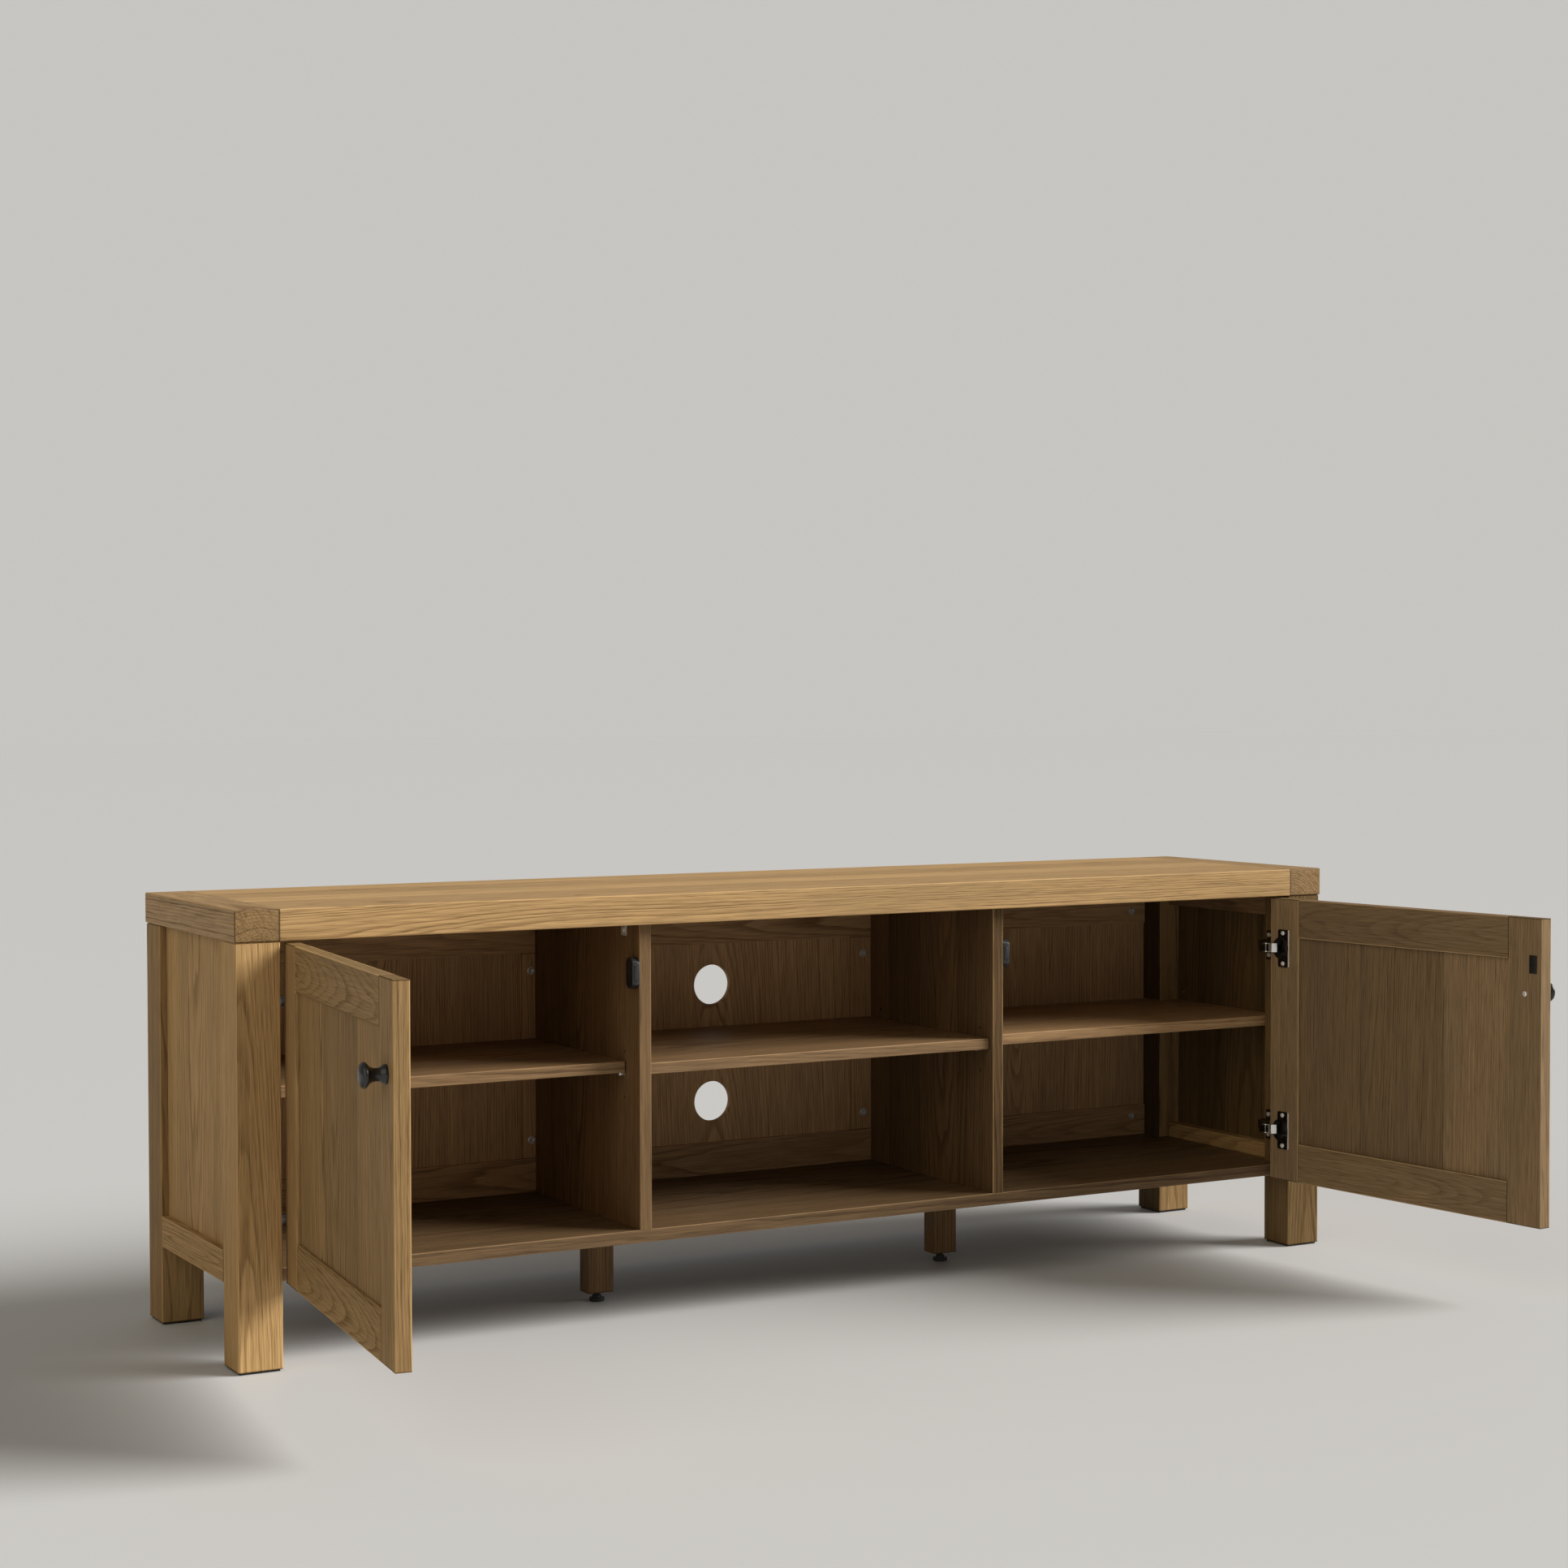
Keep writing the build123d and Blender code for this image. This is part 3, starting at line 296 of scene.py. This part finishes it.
    shade = w.math("MULTIPLY_ADD", fibre, 1.0, 0.5)
    shade = w.math("MULTIPLY", shade, source["Tone"])
    shade = w.math("MULTIPLY", shade, w.math("MULTIPLY_ADD", end_grain, -0.2, 1.0))
    grey = w.join(shade, shade, shade)
    colour = w.mix(1.0, colour, grey, "MULTIPLY")
    w.feed(sink["Color"], colour)

    rough = w.math("MULTIPLY_ADD", early, 0.14, 0.44)
    w.feed(sink["Roughness"], w.math("MULTIPLY_ADD", pores, 0.16, rough))
    height = w.math("MULTIPLY_ADD", early, -0.5, 1.0)
    height = w.math("MULTIPLY_ADD", pores, -0.6, height)
    w.feed(sink["Height"], w.math("MULTIPLY_ADD", fibre, 0.25, height))
    return tree


def build_wear_highlight_and_joints():
    """Where a board's long arrises are pale, partly from real abrasion and partly a painted
    highlight where edges catch the light, and the dark line at its joined ends.
    """
    wear_and_highlight_lumps = (16.0, 120.0, 120.0)
    wear_and_highlight_width = 0.0036
    tree, w, source, sink = shader_group(
        "Edge wear, painted highlight and joints",
        [
            ("Vector", "vector", (0, 0, 0)),
            ("Half size", "vector", (1, 1, 1)),
            ("Seed", "number", 0.0),
        ],
        [("Worn and highlit", "number"), ("Joint", "number")],
    )
    gaps = w.vector("SUBTRACT", source["Half size"], w.vector("ABSOLUTE", source["Vector"]))
    along, across, deep = w.split(gaps)
    place = w.vector("ADD", source["Vector"], w.join(source["Seed"], 0.0, source["Seed"]))
    # noise for how far the pale band reaches: real abrasion and a painted highlight
    rubbed_and_highlit = w.noise(place, wear_and_highlight_lumps, 3.0, 0.6)
    limit = w.math("MULTIPLY_ADD", rubbed_and_highlit, wear_and_highlight_width, -0.0002)
    arris = w.math("MAXIMUM", across, deep)
    w.feed(sink["Worn and highlit"], w.fade(w.math("DIVIDE", arris, limit), 0.5, 1.1, 1.0, 0.0))
    face = w.fade(w.math("MINIMUM", across, deep), 0.0006, 0.0014, 1.0, 0.0)
    w.feed(sink["Joint"], w.math("MULTIPLY", face, w.fade(along, 0.0005, 0.0018, 1.0, 0.0)))
    return tree


glued_boards = build_glued_boards()
oak_grain = build_oak_grain()
wear_highlight_and_joints = build_wear_highlight_and_joints()

outer_oak = {
    "Light": (0.50, 0.32, 0.145, 1),
    "Dark": (0.20, 0.112, 0.042, 1),
    "Cloud": (0.34, 0.225, 0.105, 1),
}
inner_oak = {
    "Light": (0.36, 0.225, 0.112, 1),
    "Dark": (0.135, 0.074, 0.034, 1),
    "Cloud": (0.245, 0.155, 0.085, 1),
}
aged_oak = {
    "Light": (0.46, 0.312, 0.17, 1),
    "Dark": (0.18, 0.108, 0.052, 1),
    "Cloud": (0.3, 0.212, 0.13, 1),
}
seeds = iter(range(1, 200))
seed_step = 3.17

# how much the oiled face mirrors, on upright boards and on those that lie flat
upright_sheen = 0.03
flat_sheen = 0.14

# how far boards go into their joints, and how far in a muntin's pale arrises begin, which are real
# abrasion and a painted highlight
slab_tongue = 0.009
side_rail_tenon = 0.024
back_rail_tenon = 0.02
muntin_tongue = 0.0075
muntin_wear_and_highlight_inset = 0.002
door_rail_tongue = 0.0075

# how far edges are taken off, and the angle past which an edge counts as one
oak_arris = 0.0006
metal_arris = 0.0003
arris_angle = math.radians(40)


def principled(name):
    material = bpy.data.materials.new(name)
    material.use_nodes = True
    tree = material.node_tree
    shader = tree.nodes["Principled BSDF"]
    return material, Wiring(tree), shader


def settle(w, node, side):
    """Where a point of a node is from the node's middle, and which way it faces, with the
    node's door shut if it has one, and the corners of the node's box."""
    if side:
        low, high = shut_box(node, side)
        move = closing(side)
    else:
        low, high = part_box(node)
        move = Matrix.Identity(4)
    middle = (low + high) / 2
    turn = move.to_euler()
    coords = w.add("ShaderNodeTexCoord").outputs
    settled = w.add("ShaderNodeMapping", {
        "Vector": coords["Object"],
        "Location": move.to_translation() - middle,
        "Rotation": turn,
    }).outputs[0]
    facing = w.add("ShaderNodeMapping", {"Vector": coords["Normal"], "Rotation": turn},
                   vector_type="VECTOR").outputs[0]
    return settled, facing, low, high


def oak(node, axes, pith=(0.0, -0.06), lean=(0.0, 0.03), gap=0.0055, wander=0.014,
        tone=1.0, splits=(), palette=outer_oak, side=None, wear_and_highlight=0.5, tongues=(0, 0, 0),
        rings=0.8, inside=None, sheen=upright_sheen):
    """Gives a board its grain. axes names the cabinet's axes along, across and through the
    board. pith and lean place the heart of the log, gap is the width of a year's ring and
    wander how far rings stray. splits are the glue joints across the board, and
    wear_and_highlight is how pale its arrises are: real abrasion, and a painted highlight
    where edges catch the light. tongues is how much of the half size along X, Y and Z is
    hidden in joints, inside is the way through the board, 1 or -1, that its inner face
    looks, darkened both for a darker stain inside and as painted shade inside the cabinet,
    and sheen is how much its oiled face mirrors."""
    material, w, shader = principled(f"oak_{node}")
    settled, facing, low, high = settle(w, node, side)
    order = ["XYZ".index(letter) for letter in axes]
    place = w.join(*(w.split(settled)[k] for k in order))
    normal = w.join(*(w.split(facing)[k] for k in order))

    seed = next(seeds) * seed_step
    boards = w.add("ShaderNodeGroup", node_tree=glued_boards)
    w.feed(boards.inputs["Vector"], place)
    boards.inputs["Seed"].default_value = seed
    for label, split in zip(("Joint A", "Joint B", "Joint C"), splits):
        boards.inputs[label].default_value = split
    tones = w.math("MULTIPLY_ADD", boards.outputs["Tone"], 0.13 if splits else 0.0, tone)
    tones = w.math("MULTIPLY_ADD", boards.outputs["Seam"], -0.3, tones)
    # inner faces are darkened: partly a darker stain, partly painted shade inside the cabinet
    if inside:
        inner = w.math("MULTIPLY", w.split(normal)[2], inside)
        tones = w.math("MULTIPLY", tones, w.fade(inner, 0.3, 0.8, 1.0, 0.3))

    grain = w.add("ShaderNodeGroup", node_tree=oak_grain)
    w.feed(grain.inputs["Vector"], boards.outputs["Vector"])
    w.feed(grain.inputs["Facing"], normal)
    w.feed(grain.inputs["Seed"], boards.outputs["Seed"])
    w.feed(grain.inputs["Tone"], tones)
    numbers = {
        "Pith across": pith[0],
        "Pith deep": pith[1],
        "Lean across": lean[0],
        "Lean deep": lean[1],
        "Ring gap": gap,
        "Wander": wander,
        "Rings": rings,
    }
    for label, value in {**numbers, **palette}.items():
        grain.inputs[label].default_value = value

    wear_highlight_node = w.add("ShaderNodeGroup", node_tree=wear_highlight_and_joints)
    w.feed(wear_highlight_node.inputs["Vector"], place)
    half = (high - low) / 2 - Vector(tongues)
    wear_highlight_node.inputs["Half size"].default_value = tuple(half[k] for k in order)
    wear_highlight_node.inputs["Seed"].default_value = seed
    # the pale arris colour: real abrasion, and a painted highlight along the edges
    pale = tuple(level * (0.5 * tone + 0.45) * 1.3 for level in palette["Light"][:3]) + (1,)
    colour = w.mix(w.math("MULTIPLY", wear_highlight_node.outputs["Worn and highlit"], wear_and_highlight), grain.outputs["Color"], pale)
    joint = w.math("MULTIPLY", wear_highlight_node.outputs["Joint"], 0.85)
    dark_line = tuple(level * 0.3 for level in palette["Dark"][:3]) + (1,)
    w.feed(shader.inputs["Base Color"], w.mix(joint, colour, dark_line))
    w.feed(shader.inputs["Roughness"], grain.outputs["Roughness"])
    bump = w.add("ShaderNodeBump", {
        "Height": grain.outputs["Height"],
        "Strength": 0.5,
        "Distance": 0.0007,
    })
    w.feed(shader.inputs["Normal"], bump.outputs[0])
    shader.inputs["Specular IOR Level"].default_value = sheen
    dress(node, material)
    soften(node)


def dress(node, material):
    """Gives a carried-over node its finish."""
    mesh = nodes[node].data
    mesh.materials.clear()
    mesh.materials.append(material)


def soften(node, width=oak_arris, smooth=False):
    """Takes the sharpness off a node's edges, and rounds its curved faces if it is smooth."""
    piece = nodes[node]
    if smooth:
        piece.data.shade_smooth()
    else:
        piece.data.shade_flat()
    weld = piece.modifiers.new("Weld", "WELD")
    weld.merge_threshold = 1e-5
    bevel = piece.modifiers.new("Bevel", "BEVEL")
    bevel.width = width
    bevel.segments = 2
    bevel.limit_method = "ANGLE"
    bevel.angle_limit = arris_angle
    bevel.harden_normals = smooth


# top slab
oak("top_front_board", "XZY", pith=(-0.035, -0.02), lean=(0.012, 0.03), gap=0.0034, wander=0.022,
    tone=0.96, tongues=(slab_tongue, 0, 0), sheen=flat_sheen)
oak("top_panel", "XYZ", pith=(0.02, -0.07), lean=(0.01, 0.02), gap=0.0042, splits=(-0.045, 0.052),
    tone=1.06, tongues=(slab_tongue, 0, 0), sheen=flat_sheen)
oak("top_endcap_left", "YXZ", pith=(0.03, -0.03), lean=(0.02, 0.03), gap=0.004, tone=0.8,
    sheen=flat_sheen)
oak("top_endcap_right", "YXZ", pith=(-0.03, -0.035), lean=(0.02, 0.03), gap=0.004, tone=0.84,
    sheen=flat_sheen)

# legs and sides
oak("leg_front_left", "ZXY", pith=(0.012, -0.012), lean=(0.02, 0.03), gap=0.0036, tone=1.06)
# its low tone is painted shade: this leg is darkened as if in the shadow of the open right door
oak("leg_front_right", "ZXY", pith=(-0.02, -0.03), lean=(-0.02, 0.03), gap=0.0036, tone=0.36)
oak("leg_back_left", "ZYX", pith=(0.05, 0.03), lean=(0.01, 0.02), gap=0.004, tone=0.68, inside=1)
oak("leg_back_right", "ZYX", pith=(-0.05, 0.02), lean=(0.01, 0.02), gap=0.004, tone=0.68, inside=-1)
for end, way in (("left", 1), ("right", -1)):
    oak(f"side_panel_{end}", "ZYX", pith=(0.02, way * 0.08), lean=(0.02, 0.02), gap=0.0042,
        splits=(-0.07, 0.015, 0.085), tone=0.97, wander=0.01, wear_and_highlight=0.0, inside=way)
    oak(f"side_rail_{end}", "YZX", pith=(0.01, way * 0.05), lean=(0.01, 0.06), gap=0.004, tone=0.9,
        tongues=(0, side_rail_tenon, 0))
oak("side_top_rails", "YZX", pith=(0.0, 0.06), palette=inner_oak, tone=0.8, wear_and_highlight=0.0)

# carcass
# the bottom panel's low tone is painted shade, where shade falls inside the bays
oak("bottom_panel", "XYZ", pith=(0.03, -0.06), splits=(-0.09, 0.0, 0.1), palette=inner_oak, tone=0.5,
    sheen=flat_sheen)
# the shelves' tones are painted light and shade: the right shelf lighter, the left darker; the
# dividers' arrises are made pale, partly real abrasion and, most on the right divider, a painted
# highlight
for end, way, shelf_painted_light, divider_wear_and_highlight in (("left", 1, 0.74, 0.6), ("right", -1, 1.25, 1.0)):
    # the dividers' low tone is painted shade on their sides
    oak(f"divider_{end}", "ZYX", pith=(0.05 * way, 0.08), gap=0.0042, splits=(-0.08, 0.03, 0.12),
        palette=inner_oak, tone=0.5, wear_and_highlight=divider_wear_and_highlight)
    oak(f"shelf_{end}", "XYZ", pith=(0.04 * way, -0.05), gap=0.0042, splits=(-0.05, 0.05),
        palette=inner_oak, tone=shelf_painted_light, sheen=flat_sheen)
    # the back panels' and muntins' high tone is painted light reaching the back
    oak(f"back_panel_{end}", "ZXY", pith=(-0.02 * way, 0.04), lean=(0.02, 0.07), gap=0.004,
        splits=(-0.11, 0.06), palette=inner_oak, tone=1.5, wear_and_highlight=0.0)
    oak(f"back_muntin_{end}", "ZXY", pith=(0.04, 0.05), gap=0.004, palette=inner_oak, tone=1.45,
        tongues=(muntin_wear_and_highlight_inset, 0, muntin_tongue))
oak("shelf_middle", "XYZ", pith=(-0.03, -0.05), gap=0.0042, splits=(-0.06, 0.06),
    palette=inner_oak, tone=0.8, sheen=flat_sheen)
# the middle back panel's high tone is painted light as well
oak("back_panel_middle", "ZXY", pith=(0.06, 0.04), lean=(0.02, 0.07), gap=0.004, splits=(-0.02,),
    palette=inner_oak, tone=1.6, wear_and_highlight=0.0)
oak("back_rail_top", "XZY", pith=(0.0, 0.04), lean=(0.01, 0.03), gap=0.004,
    palette=inner_oak, tone=1.35, tongues=(back_rail_tenon, 0, 0))
oak("back_rail_bottom", "XZY", pith=(0.01, 0.05), lean=(0.01, 0.03), gap=0.004,
    palette=inner_oak, tone=1.25, tongues=(back_rail_tenon, 0, 0))
oak("mid_legs", "ZXY", pith=(0.03, 0.03), palette=inner_oak, tone=0.6, wear_and_highlight=0.0)

# doors
# painted_door_shade darkens the whole right door as painted shade, for its inner face standing away
# from the light
for end, way, painted_door_shade, bold, wood in (
    ("left", 1, 1.0, 0.62, outer_oak),
    ("right", -1, 0.78, 0.38, aged_oak),
):
    # door arrises made pale: real abrasion and a painted highlight where edges catch the light
    rubbed_and_highlit = {"side": end, "wear_and_highlight": 0.8, "rings": bold, "palette": wood}
    # the hinge stiles' higher tone is painted light against the shade near the hinges
    oak(f"door_{end}_hinge_stile", "ZXY", pith=(-0.05 * way, 0.05), lean=(0.01, 0.02), gap=0.004,
        tone=0.76 * painted_door_shade, **rubbed_and_highlit)
    oak(f"door_{end}_free_stile", "ZXY", pith=(0.045 * way, 0.04), lean=(0.02, 0.02), gap=0.004,
        tone=0.7 * painted_door_shade, **rubbed_and_highlit)
    oak(f"door_{end}_top_rail", "XZY", pith=(0.01, 0.03), lean=(0.01, 0.07), gap=0.0038, wander=0.03,
        tone=0.62 * painted_door_shade, tongues=(door_rail_tongue, 0, 0), **rubbed_and_highlit)
    oak(f"door_{end}_bottom_rail", "XZY", pith=(0.0, 0.028), lean=(0.01, 0.08), gap=0.0038,
        wander=0.02, tone=0.68 * painted_door_shade, tongues=(door_rail_tongue, 0, 0), **rubbed_and_highlit)
    oak(f"door_{end}_panel", "ZXY", pith=(-0.06 * way, 0.06), lean=(0.02, 0.03), gap=0.0042,
        splits=(-0.082, 0.082), side=end, tone=0.64 * painted_door_shade, wear_and_highlight=0.0, rings=bold + 0.1, palette=wood)


# ---------------------------------------------------------------- plain finishes
# lumps per metre
fine_grit = (900.0, 900.0, 900.0)
broad_smear = (60.0, 60.0, 60.0)
cup_smear = (160.0, 160.0, 160.0)


def plain(name, colour, rough, metal=0.0, coat=0.0):
    """A metal or plastic with fine speckle in its colour and gloss."""
    material, w, shader = principled(name)
    place = w.add("ShaderNodeTexCoord").outputs["Object"]
    grit = w.noise(place, fine_grit, 2.0)
    smear = w.noise(place, broad_smear, 2.0)
    deep = tuple(level * 0.8 for level in colour) + (1,)
    w.feed(shader.inputs["Base Color"], w.mix(smear, deep, tuple(colour) + (1,)))
    w.feed(shader.inputs["Roughness"], w.math("MULTIPLY_ADD", smear, 0.14, rough - 0.07))
    shader.inputs["Metallic"].default_value = metal
    shader.inputs["Coat Weight"].default_value = coat
    bump = w.add("ShaderNodeBump", {"Height": grit, "Strength": 0.12, "Distance": 0.0002})
    w.feed(shader.inputs["Normal"], bump.outputs[0])
    return material


nickel = plain("polished_nickel", (0.86, 0.85, 0.82), rough=0.24, metal=0.85)
# nickel painted dark as painted shade: the plates and arms are the same nickel as the links,
# darkened for the shade inside the cabinet
nickel_painted_dark = plain("nickel_with_painted_shade", (0.2, 0.195, 0.185), rough=0.22, metal=1.0)
zinc = plain("zinc_screw_steel", (0.85, 0.84, 0.82), rough=0.3, metal=0.55)
black_iron = plain("black_knob_paint", (0.006, 0.006, 0.0065), rough=0.34, coat=0.3)
black_plastic = plain("black_pad_plastic", (0.018, 0.018, 0.018), rough=0.6)
catch_plastic = plain("black_catch_plastic", (0.014, 0.014, 0.016), rough=0.34)
magnet_steel = plain("grey_magnet_steel", (0.045, 0.045, 0.048), rough=0.4, metal=0.7)
strike_steel = plain("black_strike_steel", (0.016, 0.014, 0.013), rough=0.45, metal=0.3)


def hinge_cup(side, way):
    """Nickel painted dark as painted shade on the flange, with a painted highlight along its outer
    edge.
    """
    node = f"door_{side}_hinge_cups"
    material, w, shader = principled(f"nickel_painted_dark_{side}")
    settled, _, low, high = settle(w, node, side)
    outwards = w.math("MULTIPLY", w.split(settled)[0], way)
    from_edge = w.math("SUBTRACT", (high.x - low.x) / 2, outwards)
    # painted highlight band along the flange's outer edge
    painted_highlight_rim = w.fade(from_edge, 0.0016, 0.0024, 1.0, 0.0)
    painted_shade_colour = (0.16, 0.155, 0.15, 1)
    painted_highlight_colour = (0.95, 0.93, 0.9, 1)
    w.feed(shader.inputs["Base Color"], w.mix(painted_highlight_rim, painted_shade_colour, painted_highlight_colour))
    w.feed(shader.inputs["Metallic"], w.fade(painted_highlight_rim, 0.0, 1.0, 1.0, 0.45))
    smear = w.noise(settled, cup_smear, 2.0)
    w.feed(shader.inputs["Roughness"], w.math("MULTIPLY_ADD", smear, 0.16, 0.14))
    dress(node, material)
    soften(node, metal_arris, smooth=True)


hinge_cup("left", 1)
hinge_cup("right", -1)
finishes = {
    nickel: ("hinge_links_left", "hinge_links_right", "shelf_pins"),
    nickel_painted_dark: ("hinge_plates", "hinge_arms"),
    zinc: ("back_screws", "fixing_screws", "top_brackets"),
    black_plastic: ("leg_pads", "mid_foot_left", "mid_foot_right"),
    catch_plastic: ("catch_housings",),
    magnet_steel: ("catch_magnets",),
    strike_steel: ("door_left_strike", "door_right_strike"),
}
for finish, members in finishes.items():
    for member in members:
        dress(member, finish)
        soften(member, metal_arris, smooth=True)


# ---------------------------------------------------------------- turned pieces on the doors
millimetre = 0.001
turning_steps = 40
turning_crease = math.radians(38)


def turned(node, side, profile, spots, upward, finish):
    """Turned pieces that stand for a door's node. profile is pairs of radius and height in
    millimetres, and upward is the way the height goes from each spot, with the door shut."""
    whole = bmesh.new()
    stand = Vector((0, 0, 1)).rotation_difference(upward).to_matrix().to_4x4()
    opening = closing(side).inverted()
    for spot in spots:
        one = bmesh.new()
        points = [
            one.verts.new((radius * millimetre, 0, height * millimetre))
            for radius, height in profile
        ]
        edges = [one.edges.new(pair) for pair in zip(points, points[1:])]
        bmesh.ops.spin(one, geom=points + edges, cent=(0, 0, 0), axis=(0, 0, 1), angle=math.tau,
                       steps=turning_steps, use_merge=True)
        bmesh.ops.remove_doubles(one, verts=one.verts[:], dist=1e-6)
        bmesh.ops.recalc_face_normals(one, faces=one.faces[:])
        one.transform(opening @ Matrix.Translation(spot) @ stand)
        part = bpy.data.meshes.new("part")
        one.to_mesh(part)
        one.free()
        whole.from_mesh(part)
        bpy.data.meshes.remove(part)
    mesh = bpy.data.meshes.new(f"turned_{node}")
    whole.to_mesh(mesh)
    whole.free()
    mesh.shade_smooth()
    mesh.set_sharp_from_angle(angle=turning_crease)
    mesh.materials.append(finish)
    piece = bpy.data.objects.new(f"turned_{node}", mesh)
    scene.collection.objects.link(piece)
    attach(piece, f"door_{side}")
    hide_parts(node)


knob_outline = (
    (0, 32.9), (5, 32.4), (10, 31.1), (13, 29.6), (14.7, 28.1), (15.3, 26.6), (15.1, 24.9),
    (14.1, 23.4), (12.2, 21.9), (10.2, 19.9), (8.8, 17.6), (7.9, 15), (7.6, 12), (7.8, 9.2),
    (8.7, 6.8), (10.2, 4.9), (11.1, 3.2), (11.4, 1.8), (11.4, 0.1), (2.3, 0.1), (2.3, 12), (0, 12),
)
pan_head = (
    (0, 1), (0.7, 1.1), (1.2, 1.92), (1.5, 1.99), (2.4, 1.82), (3.1, 1.4), (3.5, 0.8), (3.59, 0.1),
    (3.5, 0), (1.65, 0), (1.65, -6.5), (0, -7.6),
)
knob_screw_head = (
    (0, 1.3), (0.9, 1.4), (1.4, 2.3), (1.8, 2.38), (2.9, 2.1), (3.7, 1.5), (4.1, 0.8), (4.18, 0.1),
    (4.1, 0), (1.95, 0), (1.95, -20), (0, -20),
)
cup_screw_pitch = 48 * millimetre
cup_head_height = 2 * millimetre
knob_head_height = 2.4 * millimetre
outward = Vector((0, -1, 0))
inward = Vector((0, 1, 0))
for end in ("left", "right"):
    low, high = shut_box(f"door_{end}_knob", end)
    spot = Vector(((low.x + high.x) / 2, high.y, (low.z + high.z) / 2))
    turned(f"door_{end}_knob", end, knob_outline, (spot,), outward, black_iron)

    low, high = shut_box(f"door_{end}_knob_screw", end)
    spot = Vector(((low.x + high.x) / 2, high.y - knob_head_height, (low.z + high.z) / 2))
    turned(f"door_{end}_knob_screw", end, knob_screw_head, (spot,), inward, zinc)

    low, high = shut_box(f"door_{end}_cup_screws", end)
    head_radius = (high.x - low.x) / 2
    lowest = low.z + head_radius
    highest = high.z - head_radius
    levels = (lowest, lowest + cup_screw_pitch, highest - cup_screw_pitch, highest)
    spots = [Vector(((low.x + high.x) / 2, high.y - cup_head_height, level)) for level in levels]
    turned(f"door_{end}_cup_screws", end, pan_head, spots, inward, zinc)


# ---------------------------------------------------------------- floor, light and camera
floor_reach = 60.0
floor_paint = (0.6, 0.61, 0.625, 1)
room_light = (1.0, 0.97, 0.93, 1)
room_strength = 0.22
backdrop_paint = (0.573, 0.56, 0.532, 1)


def soft_light(name, bearing, height, spread, strength, colour):
    """A broad, distant light. bearing is degrees from the front towards the right, and
    height is degrees above the floor."""
    lamp = bpy.data.lights.new(name, "SUN")
    lamp.angle = math.radians(spread)
    lamp.energy = strength
    lamp.color = colour
    obj = bpy.data.objects.new(name, lamp)
    obj.rotation_euler = Euler((math.radians(90 - height), 0, math.radians(bearing)), "XYZ")
    scene.collection.objects.link(obj)


def floor():
    bm = bmesh.new()
    bmesh.ops.create_grid(bm, x_segments=1, y_segments=1, size=floor_reach)
    mesh = bpy.data.meshes.new("floor")
    bm.to_mesh(mesh)
    bm.free()
    obj = bpy.data.objects.new("floor", mesh)
    scene.collection.objects.link(obj)
    material, _, shader = principled("pale_floor")
    shader.inputs["Base Color"].default_value = floor_paint
    shader.inputs["Roughness"].default_value = 0.5
    shader.inputs["Specular IOR Level"].default_value = 0.12
    mesh.materials.append(material)


def studio():
    """Dim all-round light, behind a pale backdrop of the floor's own brightness."""
    world = bpy.data.worlds.new("studio")
    world.use_nodes = True
    w = Wiring(world.node_tree)
    around = world.node_tree.nodes["Background"]
    around.inputs["Color"].default_value = room_light
    around.inputs["Strength"].default_value = room_strength
    backdrop = w.add("ShaderNodeBackground", {"Color": backdrop_paint, "Strength": 1.0})
    seen = w.add("ShaderNodeLightPath").outputs["Is Camera Ray"]
    blend = w.add("ShaderNodeMixShader", {0: seen, 1: around.outputs[0], 2: backdrop.outputs[0]})
    w.feed(world.node_tree.nodes["World Output"].inputs["Surface"], blend.outputs[0])
    scene.world = world


floor()
studio()
soft_light("key", bearing=62, height=30, spread=32, strength=4.6, colour=(1.0, 0.97, 0.92))
soft_light("fill", bearing=-66, height=30, spread=60, strength=0.66, colour=(1.0, 0.87, 0.62))

camera = bpy.data.cameras.new("camera")
camera.sensor_width = 36.0
camera.lens = 63.71
look_down = 0.0290
roll = 0.0021
heading = -0.5078
viewer = bpy.data.objects.new("camera", camera)
viewer.location = (-1.9971, -3.6360, 0.8632)
viewer.rotation_euler = Euler((math.pi / 2 - look_down, roll, heading), "XYZ")
scene.collection.objects.link(viewer)
scene.camera = viewer
